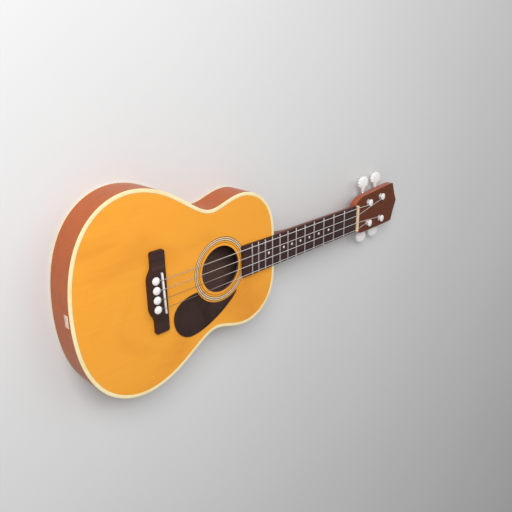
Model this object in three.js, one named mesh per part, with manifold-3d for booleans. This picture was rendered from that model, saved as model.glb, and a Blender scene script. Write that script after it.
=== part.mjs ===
// Small-bodied four-string guitar, lying on its flat back.
// +X runs to the headstock, +Y to the bass side and +Z out of the face. Lengths are millimetres.
// The origin is the middle of the body's length, on the outside of the back.

import * as THREE from 'three';
import { mergeVertices } from 'three/addons/utils/BufferGeometryUtils.js';
import Module from 'manifold-3d';

const wasm = await Module();
wasm.setup();

// Body outline
const bodyLength = 306.8;
const bodyDepth = 41;
const lowerBoutWidth = 254;
const waistWidth = 162;
const upperBoutWidth = 183.8;
const heelFlatWidth = 51.4;

// Places along the body, as shares of its length from the tail
const lowerBoutShare = 0.2836;
const waistShare = 0.6473;
const upperBoutShare = 0.8201;
const holeShare = 0.6822;
const saddleShare = 0.3731;

// How far each curve's two handles reach towards the next widest or narrowest place
const tailShares = [0.86, 0.31];
const lowerShares = [0.48, 0.23];
const waistShares = [0.29, 0.43];
const upperShares = [0.24, 0.85];
const outlineSteps = [12, 8, 5, 8];

// Plates, sides and the pieces that join them
const topThickness = 2.5;
const backThickness = 2.2;
const sideThickness = 2.2;
const liningWidth = 5;
const liningHeight = 6;
const topBindingWidth = 4.3;
const topBindingHeight = 1.5;
const backBindingWidth = 2.6;
const backBindingHeight = 1.8;
const blockWidth = 50;
const neckBlockLength = 20;
const tailBlockLength = 12;
const glueGap = 0.3;
const overrun = 5;

// Sound hole and rosette
const holeRadius = 30.8;
const rosetteInnerRadius = 37;
const rosetteOuterRadius = 42.6;
const rosetteDepth = 1;

// Braces
const braceWidth = 6;
const braceHeight = 7;
const backBraceHeight = 6;
const braceAngle = THREE.MathUtils.degToRad(48);
const braceToHole = 4;
const upperBraceToHole = 10;
const toneBarLength = 116;
const toneBarShare = 0.16;
const backBraceShares = [0.2, 0.44, 0.67];
const bridgePlateLength = 26;
const bridgePlateThickness = 2.5;
const plateToBrace = 3;

// Neck, board and nut
const scaleLength = 382;
const neckPitch = THREE.MathUtils.degToRad(1.5);
const headTilt = THREE.MathUtils.degToRad(4);
const headStep = 1.6;
const boardThickness = 3;
const boardLengthShare = 0.659;
const boardWidthAtNut = 42;
const boardWidthAtEnd = 43.7;
const neckDepthAtNut = 13.4;
const neckDepthAtHeel = 16.5;
const neckRoundShares = [0.78, 0.86];
const heelLength = 44;
const heelPastBack = 6.5;
const heelSweepShare = 2.5;
const heelCapThickness = 2;
const heelCapAboveBack = 1;
const barWidth = 5;
const barHeight = 5;
const barFromHeel = 14;
const barFromNut = 12;
const nutThickness = 4.2;
const nutLedge = 0.4;
const nutStringHeight = 1.5;
const nutLip = 0.9;
const nutSlotSlope = THREE.MathUtils.degToRad(8);

// Frets
const fretCount = 12;
const firstFretShare = 0.0861;
const secondFretShare = 0.0691;
const nextFretSpaceShare = 0.925;
const fretCrownWidth = 2;
const fretCrownHeight = 1;
const fretTangWidth = 0.6;
const fretTangDepth = 1.6;
const fretInset = 0.3;
const fretTopShare = 0.5;

// Bridge, saddle and pins
const bridgeHeight = 8;
const bridgeWingHeight = 4.6;
const bridgeSpan = 104;
const bridgeFrontToSaddle = 7.4;
const bridgeWingLength = 19.4;
const bridgeBellyLength = 6.5;
const bridgeBellySpan = 44;
const bridgeBellyFootSpan = 64;
const bridgeCrownSpan = 62;
const bridgeFrontSlope = 2.4;
const bridgeRearSlope = 3;
const bridgeCornerRadius = 3;
const bellyCornerRadius = 5;
const saddleLength = 52;
const saddleThickness = 1.7;
const saddleSlant = THREE.MathUtils.degToRad(2.3);
const saddleSlotDepth = 5;
const saddleStringHeight = 10.8;
const saddleCrestShare = 0.05;
const saddleFrontFall = 0.3;
const saddleRearFall = 0.9;
const pinToSaddle = 10.1;
const pinSpacing = 12.1;
const pinHeadRadius = 5;
const pinHeadHeight = 3.2;
const pinShankRadius = 2.3;
const pinHoleRadius = 3.2;

// Pickguard, measured from the centre of the sound hole
const guardThickness = 1.2;
const guardToRosette = 1.6;
const guardToBridge = 9.6;
const guardTailDrop = 46;
const guardDrop = 75.7;
const guardDropReach = 51.5;
const guardFromAngle = THREE.MathUtils.degToRad(206.5);
const guardToAngle = THREE.MathUtils.degToRad(305);
const guardHandles = { shoulder: 22, bulb: 17, foot: 14, sweep: 27, tip: 13 };

// Plate on the tail and its two pins
const tailPlateWidth = 14.5;
const tailPlateHeight = 6.4;
const tailPlateThickness = 1.2;
const tailPlateBelowFace = 6.4;
const tailPinSpacing = 10;
const tailPinRadius = 0.9;
const tailPinHeadRadius = 1.7;
const tailPinHeadHeight = 0.9;
const tailPinReach = 6;

// Bolt from the neck block into the heel
const boltRadius = 3;
const boltHeadRadius = 5.5;
const boltHeadHeight = 3;
const boltReach = 9;
const boltAboveBack = 19.5;

// Headstock, measured from the front of the nut
const headThickness = 11;
const headLength = 138.7;
const headShoulderFromNut = 28;
const headShoulderWidth = 61.4;
const headWideFromNut = 110;
const headWidth = 67.2;
const headCornerFromNut = 124;
const headCornerWidth = 65;
const headShoulderShare = 0.6;
const headFlankDip = 2;

// Tuning machines, measured from each post on the face of the headstock
const postsFromNut = { near: 42, far: 81.5 };
const postsFromCentre = { near: 17.3, far: 18.9 };
const postRadius = 3;
const postCapRadius = 5.7;
const postCapBottom = 4.8;
const postCapHeight = 2.6;
const postDomeShare = 0.6;
const postStubRadius = 2;
const ferruleRadius = 4.2;
const ferruleFlangeRadius = 5;
const ferruleFlangeThickness = 0.7;
const ferruleDepth = 5;
const runningGap = 0.3;
const machinePlateThickness = 0.8;
const machinePlateWidth = 13;
const machinePlateToTail = 11;
const machinePlateToTip = 15.5;
const gearTeeth = 12;
const wormPitch = 2.2;
const wormPitchRadius = 2.4;
const toothAddendum = 0.5;
const toothDedendum = 0.75;
const toothTipShare = 0.2;
const toothRootShare = 0.56;
const threadTipShare = 0.2;
const threadRootShare = 0.54;
const gearThickness = 2.4;
const threadTurns = 3;
const threadSteps = 10;
const shaftBelowBack = 3.8;
const earThickness = 1;
const earWidth = 5.6;
const earFromCentre = 5.5;
const collarRadius = 2.4;
const collarLength = 1;
const shaftIntoButton = 7;
const gearScrewRadius = 3;
const gearScrewHeight = 1.3;
const buttonLength = 20;
const buttonWidth = 22;
const buttonThickness = 6.3;
const buttonScallops = 12;
const buttonScallopShare = 0.045;
const buttonFromCentreline = 46.5;
const buttonStemRadius = 3;
const buttonStemLength = 5.5;
const buttonTurn = THREE.MathUtils.degToRad(-13.5);

// Strings, from the bass side to the treble side
const stringDiameters = [1, 0.85, 0.7, 0.6];
const stringSpacingAtNut = 11.8;
const stringInPin = 2.3;
const stringRise = 0.8;
const ballRadius = 1.9;
const ballLength = 4.5;
const ballToPin = 0.9;
const windingTurns = 1.25;
const windingTop = 3.6;
const windingSpace = 0.45;
const windingSteps = 24;
const stringSides = 6;

// How finely round shapes are cut
const holeSteps = 18;
const roundSides = 12;
const smallSides = 8;
const ferruleSides = 10;
const weldDistance = 1e-4;

// Places that follow from the sizes above
const tailX = -bodyLength / 2;
const jointX = bodyLength / 2;
const holeX = tailX + holeShare * bodyLength;
const saddleX = tailX + saddleShare * bodyLength;
const neckLength = (saddleX + scaleLength - jointX) / Math.cos(neckPitch);
const boardOverBody = boardLengthShare * scaleLength - neckLength;
const heelReach = bodyDepth + heelPastBack;
const topUnderside = bodyDepth - topThickness;
const pinX = saddleX - pinToSaddle;
const innerInset = sideThickness + glueGap;
const liningInset = innerInset + liningWidth;
const gearPitchRadius = (gearTeeth * wormPitch) / (2 * Math.PI);
const wormOffset = gearPitchRadius + wormPitchRadius;
const shaftRadius = wormPitchRadius - toothDedendum;
const shaftHeight = -headThickness - shaftBelowBack;

const finishes = {
  spruce: { color: 0xe89c42, roughness: 0.35, metalness: 0 },
  mahogany: { color: 0x9a5236, roughness: 0.4, metalness: 0 },
  insideWood: { color: 0xc9a06a, roughness: 0.8, metalness: 0 },
  rosewood: { color: 0x48322f, roughness: 0.45, metalness: 0 },
  binding: { color: 0xfbe9b8, roughness: 0.35, metalness: 0 },
  rosetteBand: { color: 0x9c8478, roughness: 0.5, metalness: 0 },
  guard: { color: 0x40302e, roughness: 0.3, metalness: 0 },
  bone: { color: 0xf1e4c4, roughness: 0.4, metalness: 0 },
  whitePlastic: { color: 0xf4f2ee, roughness: 0.25, metalness: 0 },
  nickel: { color: 0xc9c8c4, roughness: 0.3, metalness: 1 },
  brass: { color: 0xb8935a, roughness: 0.35, metalness: 1 },
  steel: { color: 0xd6d0c6, roughness: 0.3, metalness: 1 },
};

// Welds a geometry's corners, drops collapsed faces and turns the faces outwards
function tidied(geometry) {
  const bare = geometry.clone();
  bare.deleteAttribute('normal');
  bare.deleteAttribute('uv');
  const welded = mergeVertices(bare, weldDistance);
  const corners = welded.attributes.position;
  const kept = [];
  let volume = 0;
  const [a, b, c] = [new THREE.Vector3(), new THREE.Vector3(), new THREE.Vector3()];
  for (let i = 0; i < welded.index.count; i += 3) {
    const [p, q, r] = [welded.index.getX(i), welded.index.getX(i + 1), welded.index.getX(i + 2)];
    if (p === q || q === r || r === p) continue;
    a.fromBufferAttribute(corners, p);
    b.fromBufferAttribute(corners, q);
    c.fromBufferAttribute(corners, r);
    volume += a.dot(b.cross(c));
    kept.push([p, q, r]);
  }
  const faces = volume < 0 ? kept.map(([p, q, r]) => [p, r, q]) : kept;
  welded.setIndex(faces.flat());
  return welded;
}

function solidOf(geometry) {
  const closed = tidied(geometry);
  const vertProperties = Float32Array.from(closed.attributes.position.array);
  const triVerts = Uint32Array.from(closed.index.array);
  return new wasm.Manifold(new wasm.Mesh({ numProp: 3, vertProperties, triVerts }));
}

function geometryOf(solid) {
  const mesh = solid.getMesh();
  const geometry = new THREE.BufferGeometry();
  geometry.setAttribute('position', new THREE.BufferAttribute(Float32Array.from(mesh.vertProperties), 3));
  geometry.setIndex(Array.from(mesh.triVerts));
  return geometry;
}

function cutAway(geometry, cutters) {
  const left = cutters.reduce((solid, cutter) => solid.subtract(solidOf(cutter)), solidOf(geometry));
  return geometryOf(left);
}

function joined(geometries) {
  const solids = geometries.map(solidOf);
  return geometryOf(solids.reduce((whole, solid) => whole.add(solid)));
}

function common(first, second) {
  return geometryOf(solidOf(first).intersect(solidOf(second)));
}

function block(fromX, toX, fromY, toY, fromZ, toZ) {
  const box = new THREE.BoxGeometry(toX - fromX, toY - fromY, toZ - fromZ);
  return box.translate((fromX + toX) / 2, (fromY + toY) / 2, (fromZ + toZ) / 2);
}

function raised(shape, bottom, top, steps = smallSides) {
  const depth = top - bottom;
  const solid = new THREE.ExtrudeGeometry(shape, { depth, bevelEnabled: false, curveSegments: steps });
  return solid.translate(0, 0, bottom);
}

// A side profile drawn in X and Z, given its width along Y
function across(shape, width) {
  return raised(shape, -width / 2, width / 2).rotateX(Math.PI / 2);
}

// A front profile drawn in Y and Z, given its length along X
function lengthwise(shape, fromX, toX) {
  return raised(shape, fromX, toX).rotateX(Math.PI / 2).rotateZ(Math.PI / 2);
}

// A profile of [radius, height] pairs turned round the Z axis
function turned(profile, sides = roundSides) {
  const points = profile.map(([radius, height]) => new THREE.Vector2(radius, height));
  return new THREE.LatheGeometry(points, sides).rotateX(Math.PI / 2);
}

function rod(radius, from, to, sides = roundSides) {
  return turned([[0, from], [radius, from], [radius, to], [0, to]], sides);
}

// The radius of a many-sided bore whose flats keep a gap round a shaft
function boreRound(radius, sides = roundSides) {
  return (radius + runningGap) / Math.cos(Math.PI / sides);
}

// The same, turned round the Y axis and the X axis
function turnedAcross(profile, sides = roundSides) {
  return turned(profile, sides).rotateX(-Math.PI / 2);
}

function rodAcross(radius, from, to, sides = roundSides) {
  return rod(radius, from, to, sides).rotateX(-Math.PI / 2);
}

function rodLengthwise(radius, from, to, sides = roundSides) {
  return rod(radius, from, to, sides).rotateY(Math.PI / 2);
}

// Rings of equally many points, joined in order and closed at both ends
function lofted(rings) {
  const count = rings[0].length;
  const faces = [];
  for (let ring = 0; ring + 1 < rings.length; ring += 1) {
    for (let i = 0; i < count; i += 1) {
      const [near, next] = [ring * count + i, ring * count + ((i + 1) % count)];
      faces.push(near, next, near + count, next, next + count, near + count);
    }
  }
  const last = (rings.length - 1) * count;
  for (let i = 1; i + 1 < count; i += 1) {
    faces.push(0, i + 1, i, last, last + i, last + i + 1);
  }
  const geometry = new THREE.BufferGeometry().setFromPoints(rings.flat());
  geometry.setIndex(faces);
  return geometry;
}

// A closed outline whose corners are rounded where a radius is given: [x, y, radius]
function roundedShape(corners) {
  const shape = new THREE.Shape();
  const count = corners.length;
  corners.forEach(([x, y, radius = 0], i) => {
    const corner = new THREE.Vector2(x, y);
    const before = new THREE.Vector2(...corners[(i + count - 1) % count]);
    const after = new THREE.Vector2(...corners[(i + 1) % count]);
    const entry = corner.clone().add(before.sub(corner).setLength(radius));
    const exit = corner.clone().add(after.sub(corner).setLength(radius));
    if (i === 0) shape.moveTo(entry.x, entry.y);
    else shape.lineTo(entry.x, entry.y);
    if (radius > 0) shape.quadraticCurveTo(corner.x, corner.y, exit.x, exit.y);
  });
  shape.closePath();
  return shape;
}

// The bass half of the body's outline, as four curves from the tail to the heel
function outlineCurves() {
  const [lowerX, waistX, upperX] = [lowerBoutShare, waistShare, upperBoutShare].map((share) => tailX + share * bodyLength);
  const [lowerY, waistY, upperY] = [lowerBoutWidth / 2, waistWidth / 2, upperBoutWidth / 2];
  const flatY = heelFlatWidth / 2;
  const point = (x, y) => new THREE.Vector2(x, y);
  return [
    new THREE.CubicBezierCurve(
      point(tailX, 0),
      point(tailX, tailShares[0] * lowerY),
      point(lowerX - tailShares[1] * (lowerX - tailX), lowerY),
      point(lowerX, lowerY),
    ),
    new THREE.CubicBezierCurve(
      point(lowerX, lowerY),
      point(lowerX + lowerShares[0] * (waistX - lowerX), lowerY),
      point(waistX - lowerShares[1] * (waistX - lowerX), waistY),
      point(waistX, waistY),
    ),
    new THREE.CubicBezierCurve(
      point(waistX, waistY),
      point(waistX + waistShares[0] * (upperX - waistX), waistY),
      point(upperX - waistShares[1] * (upperX - waistX), upperY),
      point(upperX, upperY),
    ),
    new THREE.CubicBezierCurve(
      point(upperX, upperY),
      point(upperX + upperShares[0] * (jointX - upperX), upperY),
      point(jointX, flatY + upperShares[1] * (upperY - flatY)),
      point(jointX, flatY),
    ),
  ];
}

// Points of that half outline, drawn in by an inset
function halfOutline(inset) {
  const points = [];
  outlineCurves().forEach((curve, part) => {
    const steps = outlineSteps[part];
    for (let i = part === 0 ? 0 : 1; i <= steps; i += 1) {
      const place = curve.getPointAt(i / steps);
      const along = curve.getTangentAt(i / steps);
      points.push(new THREE.Vector2(place.x + along.y * inset, place.y - along.x * inset));
    }
  });
  points[0].y = 0;
  return points;
}

function bodyOutline(inset) {
  const half = halfOutline(inset);
  const mirrored = half.map((point) => new THREE.Vector2(point.x, -point.y));
  return [...mirrored, ...half.slice(1).reverse()];
}

function bodyShape(inset) {
  return new THREE.Shape(bodyOutline(inset));
}

function bodyRing(fromInset, toInset, bottom, top) {
  const shape = bodyShape(fromInset);
  shape.holes.push(new THREE.Path(bodyOutline(toInset)));
  return raised(shape, bottom, top);
}

// One bent side, from the seam at the tail to the seam under the heel
function sidePanel(side) {
  const seamY = glueGap / 2;
  const wall = (inset) => {
    const points = halfOutline(inset);
    points[0].y = seamY;
    points.push(new THREE.Vector2(jointX - inset, seamY));
    return points;
  };
  const loop = [...wall(0), ...wall(sideThickness).reverse()];
  const shape = new THREE.Shape(loop.map((point) => new THREE.Vector2(point.x, point.y * side)));
  const panel = raised(shape, backBindingHeight + glueGap, bodyDepth - topBindingHeight - glueGap);
  return cutAway(panel, [boltHole(), ...tailPinHoles()]);
}

function soundboard() {
  const shape = bodyShape(topBindingWidth + glueGap);
  shape.holes.push(new THREE.Path().absarc(holeX, 0, holeRadius, 0, 2 * Math.PI, true));
  const plate = raised(shape, topUnderside, bodyDepth, holeSteps);
  const floor = bodyDepth - rosetteDepth;
  const groove = ringAt(rosetteInnerRadius - glueGap, rosetteOuterRadius + glueGap, floor, bodyDepth + overrun);
  return cutAway(plate, [groove, ...pinHoles()]);
}

function ringAt(innerRadius, outerRadius, bottom, top) {
  const shape = new THREE.Shape().absarc(holeX, 0, outerRadius, 0, 2 * Math.PI, false);
  shape.holes.push(new THREE.Path().absarc(holeX, 0, innerRadius, 0, 2 * Math.PI, true));
  return raised(shape, bottom, top, holeSteps);
}

function rosette() {
  return ringAt(rosetteInnerRadius, rosetteOuterRadius, bodyDepth - rosetteDepth + glueGap, bodyDepth);
}

function backPlate() {
  return raised(bodyShape(backBindingWidth + glueGap), 0, backThickness);
}

// An end block fills the end of the body and is notched round both linings
function endBlock(fromX, toX, cutters) {
  const [bottom, top] = [backThickness + glueGap, topUnderside - glueGap];
  const box = block(fromX, toX, -blockWidth / 2, blockWidth / 2, bottom, top);
  const notch = liningHeight + glueGap;
  const notches = [[bottom - overrun, bottom + notch], [top - notch, top + overrun]].map(([low, high]) => {
    return bodyRing(0, liningInset + glueGap, low, high);
  });
  return cutAway(common(box, raised(bodyShape(innerInset), bottom, top)), [...notches, ...cutters]);
}

function neckBlock() {
  return endBlock(jointX - innerInset - neckBlockLength, jointX, [boltHole()]);
}

function tailBlock() {
  return endBlock(tailX, tailX + innerInset + tailBlockLength, tailPinHoles());
}

function topLining() {
  const ring = bodyRing(innerInset, liningInset, topUnderside - glueGap - liningHeight, topUnderside - glueGap);
  return cutAway(ring, tailPinHoles());
}

function backLining() {
  return bodyRing(innerInset, liningInset, backThickness + glueGap, backThickness + glueGap + liningHeight);
}

// A bar across the body, ending at the linings
function crossBar(x, bottom, top) {
  const bar = block(x - braceWidth / 2, x + braceWidth / 2, -lowerBoutWidth, lowerBoutWidth, bottom, top);
  return common(bar, raised(bodyShape(liningInset + glueGap), bottom, top));
}

function crossingX() {
  return holeX - (holeRadius + braceToHole + braceWidth / 2) / Math.sin(braceAngle);
}

function topBraceHeights() {
  return [topUnderside - glueGap - braceHeight, topUnderside - glueGap];
}

// Two legs that cross between the bridge and the sound hole
function crossBrace() {
  const [bottom, top] = topBraceHeights();
  const legs = [braceAngle, -braceAngle].map((angle) => {
    const leg = block(-bodyLength, bodyLength, -braceWidth / 2, braceWidth / 2, bottom, top);
    return leg.rotateZ(angle).translate(crossingX(), 0, 0);
  });
  return common(joined(legs), raised(bodyShape(liningInset + glueGap), bottom, top));
}

function upperBrace() {
  return crossBar(holeX + holeRadius + upperBraceToHole, ...topBraceHeights());
}

function toneBar() {
  const x = tailX + toneBarShare * bodyLength;
  const [wide, long] = [braceWidth / 2, toneBarLength / 2];
  return block(x - wide, x + wide, -long, long, ...topBraceHeights());
}

function backBrace(share) {
  const bottom = backThickness + glueGap;
  return crossBar(tailX + share * bodyLength, bottom, bottom + backBraceHeight);
}

function bridgePlateBottom() {
  return topUnderside - glueGap - bridgePlateThickness;
}

// The plate under the bridge fills the space between the two legs of the cross
function bridgePlate() {
  const front = pinX + bridgePlateLength / 2;
  const toLeg = (crossingX() - front) * Math.tan(braceAngle);
  const half = toLeg - braceWidth / 2 / Math.cos(braceAngle) - plateToBrace;
  const plate = block(front - bridgePlateLength, front, -half, half, bridgePlateBottom(), topUnderside - glueGap);
  return cutAway(plate, pinHoles());
}

function stringSideways(index, spacing) {
  return (1.5 - index) * spacing;
}

function pinHoles() {
  return stringDiameters.map((_, i) => {
    const hole = rod(pinHoleRadius, bridgePlateBottom() - overrun, bodyDepth + bridgeHeight + overrun);
    return hole.translate(pinX, stringSideways(i, pinSpacing), 0);
  });
}

function bridge() {
  const front = saddleX + bridgeFrontToSaddle;
  const rear = front - bridgeWingLength;
  const [half, belly, foot] = [bridgeSpan / 2, bridgeBellySpan / 2, bridgeBellyFootSpan / 2];
  const plan = roundedShape([
    [front, -half, bridgeCornerRadius],
    [front, half, bridgeCornerRadius],
    [rear, half, bridgeCornerRadius],
    [rear, foot, bellyCornerRadius],
    [rear - bridgeBellyLength, belly, bellyCornerRadius],
    [rear - bridgeBellyLength, -belly, bellyCornerRadius],
    [rear, -foot, bellyCornerRadius],
    [rear, -half, bridgeCornerRadius],
  ]);
  const bottom = bodyDepth + glueGap;
  const [wing, crown] = [bodyDepth + bridgeWingHeight, bodyDepth + bridgeHeight];
  const face = new THREE.Shape();
  face.moveTo(-half, bottom);
  face.lineTo(half, bottom);
  face.lineTo(half, wing);
  face.quadraticCurveTo(foot, wing, bridgeCrownSpan / 2, crown);
  face.lineTo(-bridgeCrownSpan / 2, crown);
  face.quadraticCurveTo(-foot, wing, -half, wing);
  const back = rear - bridgeBellyLength;
  const rise = new THREE.Shape([
    new THREE.Vector2(back, bottom),
    new THREE.Vector2(front, bottom),
    new THREE.Vector2(front, wing),
    new THREE.Vector2(front - bridgeFrontSlope, crown),
    new THREE.Vector2(back + bridgeRearSlope, crown),
    new THREE.Vector2(back, wing),
  ]);
  const blank = common(raised(plan, bottom, crown, 3), lengthwise(face, back, front));
  return cutAway(common(blank, across(rise, bridgeSpan)), [saddleSlot(), ...pinHoles()]);
}

// The saddle leans across the bridge, its treble end nearer the sound hole
function onSaddle(geometry) {
  return geometry.rotateZ(saddleSlant).translate(saddleX, 0, 0);
}

function saddleSlot() {
  const [half, long] = [saddleThickness / 2 + glueGap, saddleLength / 2 + glueGap];
  const floor = bodyDepth + bridgeHeight - saddleSlotDepth;
  return onSaddle(block(-half, half, -long, long, floor, bodyDepth + bridgeHeight + overrun));
}

// Its crest falls further on the side of the pins, where the strings bend down
function saddle() {
  const half = saddleThickness / 2;
  const bottom = bodyDepth + bridgeHeight - saddleSlotDepth + glueGap;
  const top = bodyDepth + saddleStringHeight - glueGap;
  const profile = new THREE.Shape([
    new THREE.Vector2(-half, bottom),
    new THREE.Vector2(half, bottom),
    new THREE.Vector2(half, top - saddleFrontFall),
    new THREE.Vector2(half * saddleCrestShare, top),
    new THREE.Vector2(-half * saddleCrestShare, top),
    new THREE.Vector2(-half, top - saddleRearFall),
  ]);
  return onSaddle(across(profile, saddleLength));
}

function saddlePlaceX(y) {
  return saddleX - y * Math.tan(saddleSlant);
}

// A domed pin, notched towards the saddle to let its string out
function bridgePin(index) {
  const seat = bodyDepth + bridgeHeight + glueGap;
  const [low, high] = [bridgePlateBottom() + glueGap, seat + pinHeadHeight];
  const domeShares = [[1, 0.3], [0.92, 0.62], [0.66, 0.88], [0, 1]];
  const dome = domeShares.map(([wide, tall]) => [wide * pinHeadRadius, seat + tall * (high - seat)]);
  const pin = turned([[0, low], [pinShankRadius, low], [pinShankRadius, seat], [pinHeadRadius, seat], ...dome]);
  const radius = stringDiameters[index] / 2 + glueGap;
  const notch = block(stringInPin - radius, pinHeadRadius + overrun, -radius, radius, low - overrun, high + overrun);
  return cutAway(pin, [notch]).translate(pinX, stringSideways(index, pinSpacing), 0);
}

function pickguard() {
  const radius = rosetteOuterRadius + guardToRosette;
  const tailReach = holeX - saddleX - bridgeFrontToSaddle - guardToBridge;
  const onRing = (angle) => new THREE.Vector2(radius * Math.cos(angle), radius * Math.sin(angle));
  const [start, end] = [onRing(guardFromAngle), onRing(guardToAngle)];
  const shape = new THREE.Shape();
  shape.moveTo(start.x, start.y);
  shape.bezierCurveTo(
    start.x - guardHandles.shoulder, start.y,
    -tailReach, guardHandles.bulb - guardTailDrop,
    -tailReach, -guardTailDrop,
  );
  shape.bezierCurveTo(
    -tailReach, -guardTailDrop - guardHandles.bulb,
    -guardDropReach - guardHandles.foot, -guardDrop,
    -guardDropReach, -guardDrop,
  );
  shape.bezierCurveTo(
    guardHandles.sweep - guardDropReach, -guardDrop,
    end.x - guardHandles.tip / 2, end.y - guardHandles.tip,
    end.x, end.y,
  );
  shape.absarc(0, 0, radius, guardToAngle, guardFromAngle, true);
  return raised(shape, bodyDepth + glueGap, bodyDepth + glueGap + guardThickness).translate(holeX, 0, 0);
}

function tailPlateHeightAboveBack() {
  return bodyDepth - tailPlateBelowFace;
}

function tailPinPlaces() {
  return [tailPinSpacing / 2, -tailPinSpacing / 2];
}

// The plate and the two pins that hold it are one piece
function tailPlate() {
  const z = tailPlateHeightAboveBack();
  const face = tailX - glueGap - tailPlateThickness;
  const [half, tall] = [tailPlateWidth / 2, tailPlateHeight / 2];
  const plate = block(face, tailX - glueGap, -half, half, z - tall, z + tall);
  const pins = tailPinPlaces().map((y) => {
    const pin = turned([
      [0, face - tailPinHeadHeight],
      [tailPinHeadRadius, face],
      [tailPinRadius, face],
      [tailPinRadius, tailX + tailPinReach],
      [0, tailX + tailPinReach],
    ], smallSides);
    return pin.rotateY(Math.PI / 2).translate(0, y, z);
  });
  return joined([plate, ...pins]);
}

function tailPinHoles() {
  return tailPinPlaces().map((y) => {
    const hole = rodLengthwise(boreRound(tailPinRadius, smallSides), tailX - overrun, tailX + tailPinReach + glueGap, smallSides);
    return hole.translate(0, y, tailPlateHeightAboveBack());
  });
}

function boltHeadX() {
  return jointX - innerInset - neckBlockLength - glueGap;
}

function boltHole() {
  const hole = rodLengthwise(boreRound(boltRadius), boltHeadX() - overrun, jointX + boltReach + glueGap);
  return hole.translate(0, 0, boltAboveBack);
}

function neckBolt() {
  const bolt = turned([
    [0, boltHeadX() - boltHeadHeight],
    [boltHeadRadius, boltHeadX() - boltHeadHeight],
    [boltHeadRadius, boltHeadX()],
    [boltRadius, boltHeadX()],
    [boltRadius, jointX + boltReach],
    [0, jointX + boltReach],
  ]);
  return bolt.rotateY(Math.PI / 2).translate(0, 0, boltAboveBack);
}

// Groups that carry the pitched neck and the tilted headstock
const guitar = new THREE.Group();
const neckFrame = new THREE.Group();
neckFrame.position.set(jointX, 0, bodyDepth);
neckFrame.rotation.y = neckPitch;
const headFrame = new THREE.Group();
headFrame.position.set(neckLength, 0, -headStep);
headFrame.rotation.y = headTilt;
neckFrame.add(headFrame);
guitar.add(neckFrame);
guitar.updateMatrixWorld(true);

function seenFromNeck(geometry) {
  return geometry.applyMatrix4(neckFrame.matrixWorld.clone().invert());
}

function boardHalfWidth(x) {
  const share = (neckLength - x) / (neckLength + boardOverBody);
  return THREE.MathUtils.lerp(boardWidthAtNut, boardWidthAtEnd, share) / 2;
}

// A D-shaped section of the neck, flat on top, with its round given by two shares
function neckSection(x, halfWidth, depth) {
  const steps = 12;
  const ring = [];
  for (let i = 0; i <= steps; i += 1) {
    const angle = (Math.PI * i) / steps;
    const side = Math.sign(Math.cos(angle)) * Math.abs(Math.cos(angle)) ** neckRoundShares[0];
    const down = Math.max(0, Math.sin(angle)) ** neckRoundShares[1];
    ring.push(new THREE.Vector3(x, i * 2 === steps ? 0 : halfWidth * side, -depth * down));
  }
  return ring;
}

function neckDepth(x) {
  const depth = THREE.MathUtils.lerp(neckDepthAtHeel, neckDepthAtNut, x / neckLength);
  const sweep = Math.max(0, 1 - Math.max(0, x) / heelLength) ** heelSweepShare;
  return depth + (heelReach - depth) * sweep;
}

function neckShaft() {
  const heelSteps = 8;
  const stations = [-overrun];
  for (let i = 0; i <= heelSteps; i += 1) stations.push((heelLength * i) / heelSteps);
  stations.push(neckLength / 2, neckLength + nutThickness + nutLedge);
  return lofted(stations.map((x) => neckSection(x, boardHalfWidth(x), neckDepth(x))));
}

function headPlate() {
  const start = nutThickness + nutLedge / 2;
  const [neckHalf, shoulder, wide, corner] = [
    boardHalfWidth(neckLength),
    headShoulderWidth / 2,
    headWidth / 2,
    headCornerWidth / 2,
  ];
  const shape = new THREE.Shape();
  shape.moveTo(start, -neckHalf);
  const bendX = THREE.MathUtils.lerp(start, headShoulderFromNut, headShoulderShare);
  shape.quadraticCurveTo(bendX, -shoulder, headShoulderFromNut, -shoulder);
  shape.lineTo(headWideFromNut, -wide);
  shape.quadraticCurveTo(headCornerFromNut, -wide, headCornerFromNut, -corner);
  shape.quadraticCurveTo((headCornerFromNut + headLength) / 2 - headFlankDip, -corner / 2, headLength, 0);
  shape.quadraticCurveTo((headCornerFromNut + headLength) / 2 - headFlankDip, corner / 2, headCornerFromNut, corner);
  shape.quadraticCurveTo(headCornerFromNut, wide, headWideFromNut, wide);
  shape.lineTo(headShoulderFromNut, shoulder);
  shape.quadraticCurveTo(bendX, shoulder, start, neckHalf);
  const postHoles = tuners.map(({ s, y }) => {
    return rod(boreRound(ferruleRadius), -headThickness - overrun, overrun).translate(s, y, 0);
  });
  const plate = cutAway(raised(shape, -headThickness, 0, 4), postHoles);
  return plate.applyMatrix4(headFrame.matrix);
}

function neckBlank() {
  return joined([neckShaft(), headPlate()]);
}

// Everything below this height over the back belongs to the heel cap
function heelFoot() {
  return heelCapAboveBack + heelCapThickness;
}

function pastHeel(bottom, top) {
  return seenFromNeck(block(jointX + glueGap, saddleX + 2 * scaleLength, -bodyLength, bodyLength, bottom, top));
}

function neck() {
  const clearOfBody = common(neckBlank(), pastHeel(heelFoot() + glueGap, bodyLength));
  const half = barWidth / 2 + glueGap;
  const channel = block(barFromHeel - glueGap, neckLength - barFromNut + glueGap, -half, half, -barHeight - glueGap, overrun);
  return cutAway(clearOfBody, [channel, seenFromNeck(boltHole())]);
}

function heelCap() {
  return common(neckShaft(), pastHeel(heelCapAboveBack, heelFoot()));
}

function neckBar() {
  return block(barFromHeel, neckLength - barFromNut, -barWidth / 2, barWidth / 2, -barHeight, -glueGap / 2);
}

function fretPlaces() {
  const places = [neckLength - firstFretShare * scaleLength];
  let space = secondFretShare * scaleLength;
  while (places.length < fretCount) {
    places.push(places[places.length - 1] - space);
    space *= nextFretSpaceShare;
  }
  return places;
}

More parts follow.
